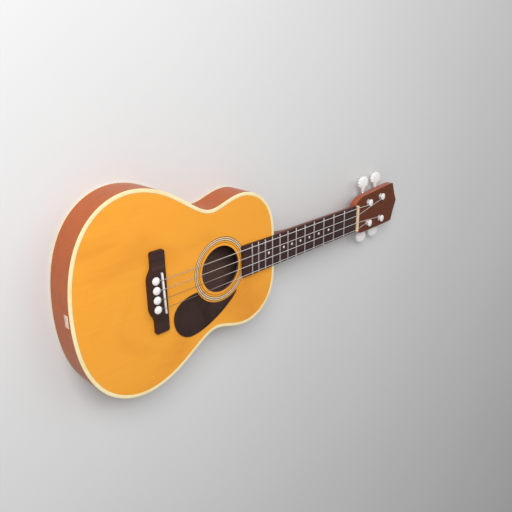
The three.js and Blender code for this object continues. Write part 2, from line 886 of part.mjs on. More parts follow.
// The board keeps one thickness along the neck and fills the wedge between its slope and the face
function fingerboard() {
  const [end, nutEnd] = [-boardOverBody, neckLength - glueGap];
  const onFace = (x) => (glueGap + x * Math.sin(neckPitch)) / Math.cos(neckPitch);
  const profile = new THREE.Shape([
    new THREE.Vector2(end, onFace(end)),
    new THREE.Vector2(0, glueGap),
    new THREE.Vector2(nutEnd, glueGap),
    new THREE.Vector2(nutEnd, boardThickness),
    new THREE.Vector2(end, boardThickness),
  ]);
  const [endHalf, nutHalf] = [boardHalfWidth(end), boardHalfWidth(nutEnd)];
  const plan = new THREE.Shape([
    new THREE.Vector2(end, -endHalf),
    new THREE.Vector2(nutEnd, -nutHalf),
    new THREE.Vector2(nutEnd, nutHalf),
    new THREE.Vector2(end, endHalf),
  ]);
  const blank = common(across(profile, boardWidthAtEnd), raised(plan, -boardThickness, boardThickness));
  return joined([blank, ...frets()]);
}

// Frets with their tangs sunk in the board
function frets() {
  const [crown, tang] = [fretCrownWidth / 2, fretTangWidth / 2];
  const [root, seat, top] = [boardThickness - fretTangDepth, boardThickness, boardThickness + fretCrownHeight];
  const section = new THREE.Shape([
    new THREE.Vector2(-tang, root),
    new THREE.Vector2(tang, root),
    new THREE.Vector2(crown, seat),
    new THREE.Vector2(crown * fretTopShare, top),
    new THREE.Vector2(-crown * fretTopShare, top),
    new THREE.Vector2(-crown, seat),
  ]);
  return fretPlaces().map((x) => across(section, 2 * (boardHalfWidth(x) - fretInset)).translate(x, 0, 0));
}

function nut() {
  const half = boardHalfWidth(neckLength);
  const top = boardThickness + nutStringHeight + nutLip;
  const blank = block(neckLength, neckLength + nutThickness, -half, half, glueGap / 2, top);
  const slots = stringDiameters.map((diameter, i) => {
    const y = stringSideways(i, stringSpacingAtNut);
    const slotHalf = diameter / 2 + glueGap;
    const slot = block(-overrun, nutThickness + overrun, -slotHalf, slotHalf, -glueGap, overrun);
    const aim = Math.atan2(windingStartY(i) - y, tuners[i].s);
    return slot.rotateY(nutSlotSlope).rotateZ(aim).translate(neckLength, y, boardThickness + nutStringHeight);
  });
  return cutAway(blank, slots);
}

// Tuning machines in string order, each placed by its post
const tuners = [
  { name: 'bass_near', s: postsFromNut.near, y: postsFromCentre.near, side: 1 },
  { name: 'bass_far', s: postsFromNut.far, y: postsFromCentre.far, side: 1 },
  { name: 'treble_far', s: postsFromNut.far, y: -postsFromCentre.far, side: -1 },
  { name: 'treble_near', s: postsFromNut.near, y: -postsFromCentre.near, side: -1 },
];

function post() {
  const shoulder = shaftHeight + gearThickness / 2 + runningGap;
  const stubEnd = shaftHeight - gearThickness / 2 - runningGap;
  const capTop = postCapBottom + postCapHeight;
  return turned([
    [0, stubEnd - gearScrewHeight],
    [gearScrewRadius, stubEnd - gearScrewHeight],
    [gearScrewRadius, stubEnd],
    [postStubRadius, stubEnd],
    [postStubRadius, shoulder],
    [postRadius, shoulder],
    [postRadius, postCapBottom],
    [postCapRadius, postCapBottom],
    [postCapRadius, THREE.MathUtils.lerp(postCapBottom, capTop, postDomeShare)],
    [postCapRadius * postDomeShare, capTop],
    [0, capTop],
  ]);
}

function ferrule() {
  const bore = boreRound(postRadius, ferruleSides);
  return turned([
    [bore, -ferruleDepth],
    [ferruleRadius, -ferruleDepth],
    [ferruleRadius, glueGap],
    [ferruleFlangeRadius, glueGap],
    [ferruleFlangeRadius, glueGap + ferruleFlangeThickness],
    [bore, glueGap + ferruleFlangeThickness],
    [bore, -ferruleDepth],
  ], ferruleSides);
}

// The gear's teeth stand in the spaces of the worm's thread, one of them pointing at the worm
function gear() {
  const [tip, root] = [gearPitchRadius + toothAddendum, gearPitchRadius - toothDedendum];
  const step = (2 * Math.PI) / gearTeeth;
  const shape = new THREE.Shape();
  for (let tooth = 0; tooth < gearTeeth; tooth += 1) {
    const flank = [[root, -toothRootShare], [tip, -toothTipShare], [tip, toothTipShare], [root, toothRootShare]];
    flank.forEach(([radius, share], i) => {
      const angle = step * (tooth + share / 2);
      const [x, y] = [radius * Math.cos(angle), radius * Math.sin(angle)];
      if (tooth === 0 && i === 0) shape.moveTo(x, y);
      else shape.lineTo(x, y);
    });
  }
  shape.closePath();
  shape.holes.push(new THREE.Path().absarc(0, 0, boreRound(postStubRadius, smallSides), 0, 2 * Math.PI, true));
  return raised(shape, shaftHeight - gearThickness / 2, shaftHeight + gearThickness / 2, smallSides / 2);
}

// A right-handed thread round the Y axis, with a space of the thread at Y = 0 facing the gear
function wormThread() {
  const [tip, root] = [wormPitchRadius + toothAddendum, shaftRadius - glueGap];
  const rings = [];
  const steps = Math.round(threadTurns * threadSteps);
  for (let i = 0; i <= steps; i += 1) {
    const turn = i / threadSteps - threadTurns / 2;
    const angle = 2 * Math.PI * turn;
    const along = wormPitch * (turn + 1 / 2);
    const section = [[root, -threadRootShare], [root, threadRootShare], [tip, threadTipShare], [tip, -threadTipShare]];
    rings.push(section.map(([radius, share]) => {
      const y = along + (share * wormPitch) / 2;
      return new THREE.Vector3(-radius * Math.cos(angle), y, radius * Math.sin(angle));
    }));
  }
  return lofted(rings);
}

function wormShaft({ y, side }) {
  const inner = earFromCentre + earThickness + runningGap;
  const buttonInnerEnd = buttonFromCentreline - Math.abs(y) - buttonLength / 2 - buttonStemLength;
  const end = buttonInnerEnd + shaftIntoButton;
  const profile = [
    [0, -inner - collarLength],
    [collarRadius, -inner - collarLength],
    [collarRadius, -inner],
    [shaftRadius, -inner],
    [shaftRadius, inner],
    [collarRadius, inner],
    [collarRadius, inner + collarLength],
    [shaftRadius, inner + collarLength],
    [shaftRadius, end],
    [0, end],
  ].map(([radius, height]) => [radius, height * side]);
  return joined([turnedAcross(profile, threadSteps), wormThread()]).translate(wormOffset, 0, shaftHeight);
}

// A plate on the back of the headstock, with two ears that carry the worm shaft
function machinePlate() {
  const top = -headThickness - glueGap;
  const bottom = top - machinePlateThickness;
  const half = machinePlateWidth / 2;
  const plan = roundedShape([
    [-machinePlateToTail, -half, half / 2],
    [machinePlateToTip, -half, half / 2],
    [machinePlateToTip, half, half / 2],
    [-machinePlateToTail, half, half / 2],
  ]);
  const base = raised(plan, bottom, top, 2);
  const ears = [-1, 1].map((end) => {
    const [from, to] = [earFromCentre, earFromCentre + earThickness].map((y) => y * end).sort((a, b) => a - b);
    const low = shaftHeight - earWidth / 2;
    return block(wormOffset - earWidth / 2, wormOffset + earWidth / 2, from, to, low, (top + bottom) / 2);
  });
  const bore = rodAcross(boreRound(shaftRadius), -half - overrun, half + overrun)
    .translate(wormOffset, 0, shaftHeight);
  const postHole = rod(boreRound(postRadius), bottom - overrun, top + overrun);
  const threadRoom = rodAcross(boreRound(wormPitchRadius + toothAddendum), -earFromCentre, earFromCentre);
  const cutters = [bore, postHole, threadRoom.translate(wormOffset, 0, shaftHeight)];
  return cutAway(joined([base, ...ears]), cutters);
}

// A flat scalloped button on a short stem, bored for its shaft
function button({ y, side }) {
  const count = buttonScallops * 2;
  const levelShares = [[0.55, -1], [1, -0.33], [1, 0.33], [0.55, 1]];
  const rings = levelShares.map(([wide, tall]) => {
    const ring = [];
    for (let i = 0; i < count; i += 1) {
      const angle = (2 * Math.PI * i) / count;
      const reach = wide * (1 + (i % 2 === 0 ? buttonScallopShare : -buttonScallopShare));
      const [x, along] = [(buttonWidth / 2) * Math.cos(angle), (buttonLength / 2) * Math.sin(angle)];
      ring.push(new THREE.Vector3(reach * x, reach * along, (tall * buttonThickness) / 2));
    }
    return ring;
  });
  const [stemFrom, stemTo] = [-buttonLength / 2 - buttonStemLength, -buttonLength / 4];
  const stem = rodAcross(buttonStemRadius, stemFrom, stemTo, smallSides);
  const bore = rodAcross(boreRound(shaftRadius), stemFrom - overrun, stemFrom + shaftIntoButton + glueGap);
  const shape = cutAway(joined([lofted(rings), stem]), [bore]);
  const facing = side > 0 ? 0 : Math.PI;
  const sideways = buttonFromCentreline * side - y;
  return shape.rotateZ(facing).rotateY(buttonTurn).translate(wormOffset, sideways, shaftHeight);
}

function inNeck(x, y, z) {
  return new THREE.Vector3(x, y, z).applyMatrix4(neckFrame.matrixWorld);
}

function inHead(s, y, z) {
  return new THREE.Vector3(s, y, z).applyMatrix4(headFrame.matrixWorld);
}

function windingRadius(index) {
  return postRadius + runningGap + stringDiameters[index] / 2;
}

// A string meets its post on the side towards the middle of the headstock
function windingStartY(index) {
  return tuners[index].y - tuners[index].side * windingRadius(index);
}

// A string's turns round its post, from the top down, and its cut end pointing away from the neck's middle
function windingPoints(index) {
  const diameter = stringDiameters[index];
  const { s, y, side } = tuners[index];
  const radius = windingRadius(index);
  const pitch = diameter + windingSpace;
  const place = (angle) => {
    const [forward, out] = [radius * Math.sin(angle), -radius * Math.cos(angle) * side];
    return inHead(s + forward, y + out, windingTop - (pitch * angle) / (2 * Math.PI));
  };
  const points = [];
  for (let i = 0; i <= windingTurns * windingSteps; i += 1) points.push(place((2 * Math.PI * i) / windingSteps));
  const last = points[points.length - 1];
  const outwards = inHead(0, side, 0).sub(inHead(0, 0, 0));
  points.push(last.clone().addScaledVector(outwards, 2 * diameter));
  return points;
}

// The string's centre line: up through the pin hole, over the saddle and the nut, and round the post
function stringPoints(index) {
  const radius = stringDiameters[index] / 2;
  const atPin = stringSideways(index, pinSpacing);
  const atNut = stringSideways(index, stringSpacingAtNut);
  const bridgeTop = bodyDepth + bridgeHeight + glueGap;
  const riser = pinX + stringInPin;
  const overSaddle = new THREE.Vector3(saddlePlaceX(atPin), atPin, bodyDepth + saddleStringHeight + radius);
  const overNut = inNeck(neckLength, atNut, boardThickness + nutStringHeight + radius);
  const winding = windingPoints(index);
  const towards = (from, to, distance) => from.clone().add(to.clone().sub(from).setLength(distance));
  const bend = saddleThickness;
  const top = new THREE.Vector3(riser, atPin, bridgeTop + stringRise);
  return [
    new THREE.Vector3(riser, atPin, ballHeight()),
    new THREE.Vector3(riser, atPin, bridgeTop + stringRise / 2),
    towards(top, overSaddle, stringRise / 2),
    towards(overSaddle, top, bend),
    overSaddle,
    towards(overSaddle, overNut, bend),
    towards(overNut, overSaddle, bend),
    overNut,
    towards(overNut, winding[0], bend),
    ...winding,
  ];
}

// A round tube of few sides along a list of points, turned as little as possible from ring to ring
function tubeAlong(points, radius) {
  const directions = points.map((point, i) => {
    const [before, after] = [points[Math.max(0, i - 1)], points[Math.min(points.length - 1, i + 1)]];
    return after.clone().sub(before).normalize();
  });
  let across_ = new THREE.Vector3(0, 1, 0);
  const rings = points.map((point, i) => {
    across_ = across_.clone().addScaledVector(directions[i], -across_.dot(directions[i])).normalize();
    const up = directions[i].clone().cross(across_);
    const ring = [];
    for (let k = 0; k < stringSides; k += 1) {
      const angle = (2 * Math.PI * k) / stringSides;
      const [sideways, upwards] = [radius * Math.cos(angle), radius * Math.sin(angle)];
      ring.push(point.clone().addScaledVector(across_, sideways).addScaledVector(up, upwards));
    }
    return ring;
  });
  return lofted(rings);
}

// The least gap between one turn of a winding and the next, measured on its points
function leastGap(index) {
  const points = windingPoints(index);
  let least = Infinity;
  for (let i = 0; i < points.length; i += 1) {
    for (let k = i + windingSteps / 2; k < points.length; k += 1) {
      least = Math.min(least, points[i].distanceTo(points[k]));
    }
  }
  return least - stringDiameters[index];
}

function stringLength(index) {
  const points = stringPoints(index);
  return points.slice(1).reduce((length, point, i) => length + point.distanceTo(points[i]), 0);
}

// The ball at the end of each string rests against the bridge plate
function ballHeight() {
  return bridgePlateBottom() - glueGap - ballRadius;
}

function string(index) {
  const ball = rodLengthwise(ballRadius, ballToPin, ballToPin + ballLength, smallSides);
  ball.translate(pinX, stringSideways(index, pinSpacing), ballHeight());
  return joined([tubeAlong(stringPoints(index), stringDiameters[index] / 2), ball]);
}

function add(parent, name, geometry, finish) {
  const closed = tidied(geometry);
  closed.computeVertexNormals();
  const mesh = new THREE.Mesh(closed, new THREE.MeshStandardMaterial(finishes[finish]));
  mesh.name = name;
  parent.add(mesh);
  return mesh;
}

function addBody() {
  add(guitar, 'soundboard', soundboard(), 'spruce');
  add(guitar, 'back_plate', backPlate(), 'mahogany');
  add(guitar, 'bass_side', sidePanel(1), 'mahogany');
  add(guitar, 'treble_side', sidePanel(-1), 'mahogany');
  add(guitar, 'neck_block', neckBlock(), 'insideWood');
  add(guitar, 'tail_block', tailBlock(), 'insideWood');
  add(guitar, 'top_lining', topLining(), 'insideWood');
  add(guitar, 'back_lining', backLining(), 'insideWood');
  add(guitar, 'cross_brace', crossBrace(), 'insideWood');
  add(guitar, 'upper_brace', upperBrace(), 'insideWood');
  add(guitar, 'tone_bar', toneBar(), 'insideWood');
  backBraceShares.forEach((share, i) => add(guitar, `back_brace_${i + 1}`, backBrace(share), 'insideWood'));
  add(guitar, 'bridge_plate', bridgePlate(), 'insideWood');
  const topRing = bodyRing(0, topBindingWidth, bodyDepth - topBindingHeight, bodyDepth);
  add(guitar, 'top_binding', topRing, 'binding');
  add(guitar, 'back_binding', bodyRing(0, backBindingWidth, glueGap, backBindingHeight), 'binding');
  add(guitar, 'rosette', rosette(), 'rosetteBand');
  add(guitar, 'pickguard', pickguard(), 'guard');
  add(guitar, 'tail_plate', tailPlate(), 'bone');
}

function addBridge() {
  add(guitar, 'bridge', bridge(), 'rosewood');
  add(guitar, 'saddle', saddle(), 'whitePlastic');
  stringDiameters.forEach((_, i) => add(guitar, `bridge_pin_${i + 1}`, bridgePin(i), 'whitePlastic'));
}

function addNeck() {
  add(neckFrame, 'neck', neck(), 'mahogany');
  add(neckFrame, 'heel_cap', heelCap(), 'rosewood');
  add(neckFrame, 'neck_bar', neckBar(), 'steel');
  add(guitar, 'neck_bolt', neckBolt(), 'steel');
  add(neckFrame, 'fingerboard', fingerboard(), 'rosewood');
  add(neckFrame, 'nut', nut(), 'bone');
}

function addTuners() {
  tuners.forEach((tuner) => {
    const machine = new THREE.Group();
    machine.position.set(tuner.s, tuner.y, 0);
    headFrame.add(machine);
    add(machine, `${tuner.name}_plate`, machinePlate(), 'nickel');
    add(machine, `${tuner.name}_ferrule`, ferrule(), 'nickel');
    add(machine, `${tuner.name}_post`, post(), 'whitePlastic');
    add(machine, `${tuner.name}_gear`, gear(), 'brass');
    add(machine, `${tuner.name}_worm_shaft`, wormShaft(tuner), 'nickel');
    add(machine, `${tuner.name}_button`, button(tuner), 'whitePlastic');
  });
}

function addStrings() {
  stringDiameters.forEach((_, i) => {
    add(guitar, `string_${i + 1}`, string(i), 'steel');
    const [gap, length] = [leastGap(i).toFixed(2), stringLength(i).toFixed(1)];
    console.log(`string_${i + 1}: ${length} mm long, least gap between its turns ${gap} mm`);
  });
}

addBody();
addBridge();
addNeck();
addTuners();
addStrings();

export default guitar;
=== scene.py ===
# Small-bodied four-string guitar, dressed over its CAD frame.
# Sizes are millimetres and become metres through MM.

import math
import bmesh
import bpy
from mathutils import Matrix, Vector


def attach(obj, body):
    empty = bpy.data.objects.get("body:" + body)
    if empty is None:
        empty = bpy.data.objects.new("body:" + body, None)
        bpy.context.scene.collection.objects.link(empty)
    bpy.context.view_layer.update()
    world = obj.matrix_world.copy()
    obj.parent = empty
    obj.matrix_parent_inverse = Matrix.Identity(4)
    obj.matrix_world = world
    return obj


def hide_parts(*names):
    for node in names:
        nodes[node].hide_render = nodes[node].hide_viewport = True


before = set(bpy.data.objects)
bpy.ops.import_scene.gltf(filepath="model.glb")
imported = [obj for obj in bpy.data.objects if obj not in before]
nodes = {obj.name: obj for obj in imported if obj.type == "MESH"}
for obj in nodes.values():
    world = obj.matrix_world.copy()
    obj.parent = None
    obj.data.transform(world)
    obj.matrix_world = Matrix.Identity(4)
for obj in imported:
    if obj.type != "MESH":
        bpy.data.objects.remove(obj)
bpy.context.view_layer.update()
MM = 0.001

# Camera at the photograph's viewing angle
CAMERA_PLACE = (-0.4035, 0.2896, 0.5816)
CAMERA_RIGHT = (0.71552, -0.01359, 0.69846)
CAMERA_DOWN = (-0.26010, -0.93311, 0.24829)
CAMERA_AHEAD = (0.64837, -0.35933, -0.67120)
CAMERA_LENS = 42.197

# Body: bouts and waist are a place along the body and half a width, bindings a width and a height
BODY_LENGTH = 306.8
BODY_DEPTH = 41.0
TAIL_X = -BODY_LENGTH / 2
JOINT_X = BODY_LENGTH / 2
LOWER = (TAIL_X + 0.2836 * BODY_LENGTH, 127.0)
WAIST = (TAIL_X + 0.6473 * BODY_LENGTH, 81.0)
UPPER = (TAIL_X + 0.8201 * BODY_LENGTH, 91.9)
HEEL_FLAT = 25.7
TOP_THICKNESS = 2.5
BACK_THICKNESS = 2.2
SIDE_THICKNESS = 2.2
TOP_BINDING = (4.3, 1.5)
BACK_BINDING = (2.6, 1.8)
PURFLING_WIDTH = 0.4
SIDE_LINE = (0.06, 0.8)
SIDE_SEAM = 0.16
BODY_SPINE = (-60.0, 100.0)
GAP = 0.3
OVERRUN = 5.0

# Sound hole and rosette
HOLE_X = TAIL_X + 0.6822 * BODY_LENGTH
HOLE_RADIUS = 30.8
ROSETTE_RADII = (37.0, 37.85, 39.1, 40.6, 41.75, 42.6)
FINE_LINE_RADII = (34.3, 34.9)
GROOVE_DEPTH = 1.0
INLAY_DEPTH = 0.95
INLAY_RISE = 0.02

# Pickguard: an arc beside the rosette, a bulb towards the bridge and a tip towards the neck
GUARD_RADIUS = ROSETTE_RADII[-1] + 1.6
GUARD_FROM, GUARD_TO = 206.5, 305.0
GUARD_ARC_STEPS = 4
GUARD_TO_SADDLE = 17.0
GUARD_BULB = -46.0
GUARD_LOW = (-51.5, -75.7)
GUARD_THICKNESS = 1.2
GUARD_HANDLES = {"shoulder": 22.0, "bulb": 17.0, "foot": 14.0, "sweep": 27.0, "tip": (6.5, 13.0)}

# Bridge
SADDLE_X = TAIL_X + 0.3731 * BODY_LENGTH
SADDLE_SLANT = math.radians(2.3)
STRINGS_OVER_SADDLE = 10.8
BRIDGE_TOP = BODY_DEPTH + 8.0
PIN_X = SADDLE_X - 10.1
PIN_SPACING = 12.1
PIN_HEAD = 5.0
PIN_SHANK = 2.3
PIN_REACH = 5.0
PIN_RIM = 0.9
PIN_DOME = 2.3
NOTCH_LENGTH = 6.0
NOTCH_PLAY = 0.6

# Neck and headstock
SCALE_LENGTH = 382.0
NECK_PITCH = math.radians(1.5)
HEAD_TILT = math.radians(4)
NECK_LENGTH = (SADDLE_X + SCALE_LENGTH - JOINT_X) / math.cos(NECK_PITCH)
BOARD_LENGTH_SHARE = 0.659
BOARD_OVER_BODY = BOARD_LENGTH_SHARE * SCALE_LENGTH - NECK_LENGTH
BOARD_THICKNESS = 3.0
BOARD_WIDTHS = (42.0, 43.7)
NUT_SPACING = 11.8
NECK_DEPTHS = (13.4, 16.5)
NECK_ROUND_SHARES = (0.78, 0.86)
HEEL_LENGTH = 44.0
HEEL_SWEEP = 2.5
HEEL_REACH = BODY_DEPTH + 6.5
HEEL_FOOT = 3.3
HEAD_STEP = 1.6
HEAD_START = 4.4
HEAD_THICKNESS = 11.0
POST_BORE = 4.4

# Frets and position dots
FRET_COUNT = 12
FIRST_FRET_SHARE = 0.0861
SECOND_FRET_SHARE = 0.0691
NEXT_FRET_SHARE = 0.925
FRET_RADIUS = 1.0
FRET_INSET = 0.3
DOTTED_FRETS = (3, 4, 5, 6, 7, 8, 10)
DOT_RADIUS = 1.9

# Tuning machines in string order: name, place along and across the headstock, side
TUNERS = (
    ("bass_near", 42.0, 17.3, 1),
    ("bass_far", 81.5, 18.9, 1),
    ("treble_far", 81.5, -18.9, -1),
    ("treble_near", 42.0, -17.3, -1),
)
WORM_OFFSET = 6.6017
SHAFT_HEIGHT = -14.8
BUTTON_CENTRE = 46.5
BUTTON_TURN = math.radians(-13.5)
BUTTON_RADIUS = 10.0
BUTTON_WIDTH_SHARE = 1.1
BUTTON_THICKNESS = 2.1
SCALLOPS = 12
SCALLOP_STEPS = 8
SCALLOP_SHARE = 0.045
GEAR_HALF = 1.2
POST_RADIUS = 3.0
POST_FOOT = 1.3
POST_STUB = 2.0
POST_CAP_RADIUS = 5.7
POST_CAP_FOOT = 4.8
POST_CAP_RIM = 5.7
POST_DOME = 1.7
SCREW_PLACES = (("tail", -8.4), ("tip", 13.0))
PLATE_THICKNESS = 0.8

# Strings
STRING_DIAMETERS = (1.0, 0.85, 0.7, 0.6)
WINDING_TURNS = 1.25
WINDING_STEPS = 48
WINDING_GAP = 0.45
WINDING_TOP = 3.6
NUT_STRING_HEIGHT = 1.5
BEND_EASE = 1.7
PIN_EXIT = 0.8
PIN_EXIT_EASE = 0.4
BRIDGE_PLATE_THICKNESS = 2.5
BALL_RADIUS = 1.9
BALL_HALF = 2.25
BALL_AHEAD_OF_PIN = 0.9

DOME_ANGLES = (15, 30, 45, 60, 75, 84)

NECK_FRAME = Matrix.Translation((JOINT_X, 0, BODY_DEPTH)) @ Matrix.Rotation(NECK_PITCH, 4, "Y")
HEAD_START_FRAME = NECK_FRAME @ Matrix.Translation((NECK_LENGTH, 0, -HEAD_STEP))
HEAD_FRAME = HEAD_START_FRAME @ Matrix.Rotation(HEAD_TILT, 4, "Y")


# Working at the bench: choosing, shaping and setting pieces down

def choose(piece):
    if bpy.context.object and bpy.context.object.mode != "OBJECT":
        bpy.ops.object.mode_set(mode="OBJECT")
    bpy.ops.object.select_all(action="DESELECT")
    piece.select_set(True)
    bpy.context.view_layer.objects.active = piece
    return piece


def open_up(piece):
    choose(piece)
    bpy.ops.object.mode_set(mode="EDIT")
    bpy.ops.mesh.select_mode(type="FACE")


def close_up():
    bpy.ops.object.mode_set(mode="OBJECT")


def name_new(name):
    piece = bpy.context.object
    piece.name = name
    piece.data.name = name
    return piece


def pick_faces(piece, wanted):
    bpy.ops.mesh.select_mode(type="FACE")
    bpy.ops.mesh.select_all(action="DESELECT")
    shape = bmesh.from_edit_mesh(piece.data)
    for face in shape.faces:
        face.select = wanted(face.calc_center_median(), face.normal)
    shape.select_flush_mode()
    bmesh.update_edit_mesh(piece.data)


def pick_corners(piece, wanted):
    bpy.ops.mesh.select_mode(type="VERT")
    bpy.ops.mesh.select_all(action="DESELECT")
    shape = bmesh.from_edit_mesh(piece.data)
    for corner in shape.verts:
        corner.select = wanted(corner.co)
    shape.select_flush_mode()
    bmesh.update_edit_mesh(piece.data)


def face_outwards():
    bpy.ops.mesh.select_all(action="SELECT")
    bpy.ops.mesh.normals_make_consistent(inside=False)


def draw_out(dx, dy, dz):
    bpy.ops.mesh.extrude_region_move(TRANSFORM_OT_translate={"value": (dx * MM, dy * MM, dz * MM)})


def finish_with(piece, kind, **settings):
    choose(piece)
    modifier = piece.modifiers.new(kind.title(), kind)
    for key, value in settings.items():
        setattr(modifier, key, value)
    bpy.ops.object.modifier_apply(modifier=modifier.name)


def round_edges(piece, width, steps=2, angle=32):
    finish_with(piece, "BEVEL", width=width * MM, segments=steps, limit_method="ANGLE",
                angle_limit=math.radians(angle), harden_normals=False, use_clamp_overlap=True)


def smooth(piece, angle=32):
    choose(piece)
    bpy.ops.object.shade_smooth_by_angle(angle=math.radians(angle))


def cut_by(piece, cutter, operation="DIFFERENCE"):
    finish_with(piece, "BOOLEAN", operation=operation, object=cutter, solver="EXACT")
    bpy.data.objects.remove(cutter, do_unlink=True)


def set_down(piece):
    choose(piece)
    bpy.ops.object.transform_apply(location=True, rotation=True, scale=True)


def carry(piece, place):
    """Sets a piece made round its own origin into a frame given in millimetres."""
    metres = place.copy()
    metres.translation = metres.translation * MM
    piece.matrix_world = metres @ piece.matrix_world
    bpy.context.view_layer.update()
    set_down(piece)
    return piece


def copy_of(piece, name):
    twin = bpy.data.objects.new(name, piece.data.copy())
    twin.data.name = name
    bpy.context.collection.objects.link(twin)
    return twin


def turned_up(name, profile, corners=40):
    """A round piece drawn up from its lowest circle: each step of the profile is a radius and a height."""
    radius, height = profile[0]
    bpy.ops.object.select_all(action="DESELECT")
    bpy.ops.mesh.primitive_circle_add(vertices=corners, radius=radius * MM, fill_type="NGON",
                                      location=(0, 0, height * MM))
    piece = name_new(name)
    set_down(piece)
    open_up(piece)
    bpy.ops.mesh.select_all(action="SELECT")
    for new_radius, new_height in profile[1:]:
        draw_out(0, 0, new_height - height)
        share = new_radius / radius
        bpy.ops.transform.resize(value=(share, share, 1), center_override=(0, 0, new_height * MM))
        radius, height = new_radius, new_height
    face_outwards()
    close_up()
    return piece


def dome(radius, rim, height):
    """The steps of a profile that close a round piece over its rim."""
    angles = [math.radians(degrees) for degrees in DOME_ANGLES]
    return [(radius * math.cos(angle), rim + height * math.sin(angle)) for angle in angles]


def deliver(piece, material, body="instrument", stands_for=()):
    piece.data.materials.clear()
    piece.data.materials.append(material)
    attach(piece, body)
    if stands_for:
        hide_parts(*stands_for)
    return piece


def face_with(piece, material, wanted):
    """Gives the chosen faces of a delivered piece a second finish."""
    piece.data.materials.append(material)
    open_up(piece)
    pick_faces(piece, wanted)
    piece.active_material_index = len(piece.data.materials) - 1
    bpy.ops.object.material_slot_assign()
    close_up()


def eased_copy(node_name, name, edge, angle=28, steps=2):
    """A CAD node's shape, welded and cleaned, with its edges eased."""
    piece = copy_of(nodes[node_name], name)
    open_up(piece)
    bpy.ops.mesh.select_all(action="SELECT")
    bpy.ops.mesh.remove_doubles(threshold=0.00001)
    bpy.ops.mesh.dissolve_limited(angle_limit=math.radians(1.5))
    face_outwards()
    close_up()
    if edge > 0:
        round_edges(piece, edge, steps, angle)
    smooth(piece, angle + 6)
    return piece


# Finishes

def new_finish(name, rough, metal=0.0, coat=0.0, coat_rough=0.1, specular=0.5):
    material = bpy.data.materials.new(name)
    material.use_nodes = True
    shader = material.node_tree.nodes["Principled BSDF"]
    shader.inputs["Roughness"].default_value = rough
    shader.inputs["Metallic"].default_value = metal
    shader.inputs["Coat Weight"].default_value = coat
    shader.inputs["Coat Roughness"].default_value = coat_rough
    shader.inputs["Specular IOR Level"].default_value = specular
    return material, material.node_tree, shader


def seen_at(tree, scale, turn=(0, 0, 0), shift=(0, 0, 0)):
    place = tree.nodes.new("ShaderNodeTexCoord")
    mapping = tree.nodes.new("ShaderNodeMapping")
    mapping.inputs["Scale"].default_value = scale
    mapping.inputs["Rotation"].default_value = turn
    mapping.inputs["Location"].default_value = shift
    tree.links.new(place.outputs["Object"], mapping.inputs["Vector"])
    return mapping.outputs["Vector"]


def noise(tree, vector, scale=1.0, detail=4.0, rough=0.55, wander=0.0):
    node = tree.nodes.new("ShaderNodeTexNoise")
    node.inputs["Scale"].default_value = scale
    node.inputs["Detail"].default_value = detail
    node.inputs["Roughness"].default_value = rough
    node.inputs["Distortion"].default_value = wander
    tree.links.new(vector, node.inputs["Vector"])
    return node.outputs["Fac"]


def ramp(tree, value, stops):
    node = tree.nodes.new("ShaderNodeValToRGB")
    band = node.color_ramp
    while len(band.elements) < len(stops):
        band.elements.new(0.5)
    for element, (place, colour) in zip(band.elements, stops):
        element.position = place
        element.color = (*colour, 1.0)
    tree.links.new(value, node.inputs["Fac"])
    return node.outputs["Color"]


def blended(tree, share, first, second):
    """Mixes two colours, each a socket or a plain colour, by the value of a socket."""
    node = tree.nodes.new("ShaderNodeMix")
    node.data_type = "RGBA"
    tree.links.new(share, node.inputs[0])
    for socket, colour in ((node.inputs[6], first), (node.inputs[7], second)):
        if isinstance(colour, tuple):
            socket.default_value = (*colour, 1.0)
        else:
            tree.links.new(colour, socket)
    return node.outputs[2]


def spread(tree, value, low, high):
    node = tree.nodes.new("ShaderNodeMapRange")
    node.inputs["To Min"].default_value = low
    node.inputs["To Max"].default_value = high
    tree.links.new(value, node.inputs["Value"])
    return node.outputs["Result"]


def raise_by(tree, shader, height, distance, strength):
    """A surface lifted by the value of a socket, by a distance in millimetres."""
    node = tree.nodes.new("ShaderNodeBump")
    node.inputs["Distance"].default_value = distance * MM
    node.inputs["Strength"].default_value = strength
    tree.links.new(height, node.inputs["Height"])
    tree.links.new(node.outputs["Normal"], shader.inputs["Normal"])


def linear(red, green, blue):
    """A colour read off a screen, from 0 to 255, as light."""
    shares = (red / 255, green / 255, blue / 255)
    return tuple(s / 12.92 if s <= 0.04045 else ((s + 0.055) / 1.055) ** 2.4 for s in shares)


def grained_wood(name, pale, mid, dark, rough, coat, fine, broad, turn=(0, 0, 0), pores=0.0, specular=0.25):
    """Wood whose grain runs along X: fine and broad give lines per metre across the grain."""
    material, tree, shader = new_finish(name, rough, coat=coat, coat_rough=0.12, specular=specular)
    lines = noise(tree, seen_at(tree, (6, fine, fine), turn), 1.0, 3.0, 0.6, 0.15)
    bands = noise(tree, seen_at(tree, (2.5, broad, broad), turn, (0.3, 0.1, 0.7)), 1.0, 4.0, 0.5, 0.6)
    colour = ramp(tree, lines, ((0.3, mid), (0.52, pale), (0.75, mid)))
    colour = blended(tree, spread(tree, bands, 0.0, 0.55), colour, dark)
    if pores:
        flecks = noise(tree, seen_at(tree, (40, fine * 3, fine * 3), turn, (0.5, 0, 0)), 1.0, 2.0, 0.5)
        pits = ramp(tree, flecks, ((0.62, (0, 0, 0)), (0.7, (pores, pores, pores))))
        colour = blended(tree, pits, colour, dark)
    tree.links.new(colour, shader.inputs["Base Color"])
    tree.links.new(spread(tree, lines, rough - 0.05, rough + 0.08), shader.inputs["Roughness"])
    raise_by(tree, shader, lines, 0.05, 0.35)
    return material


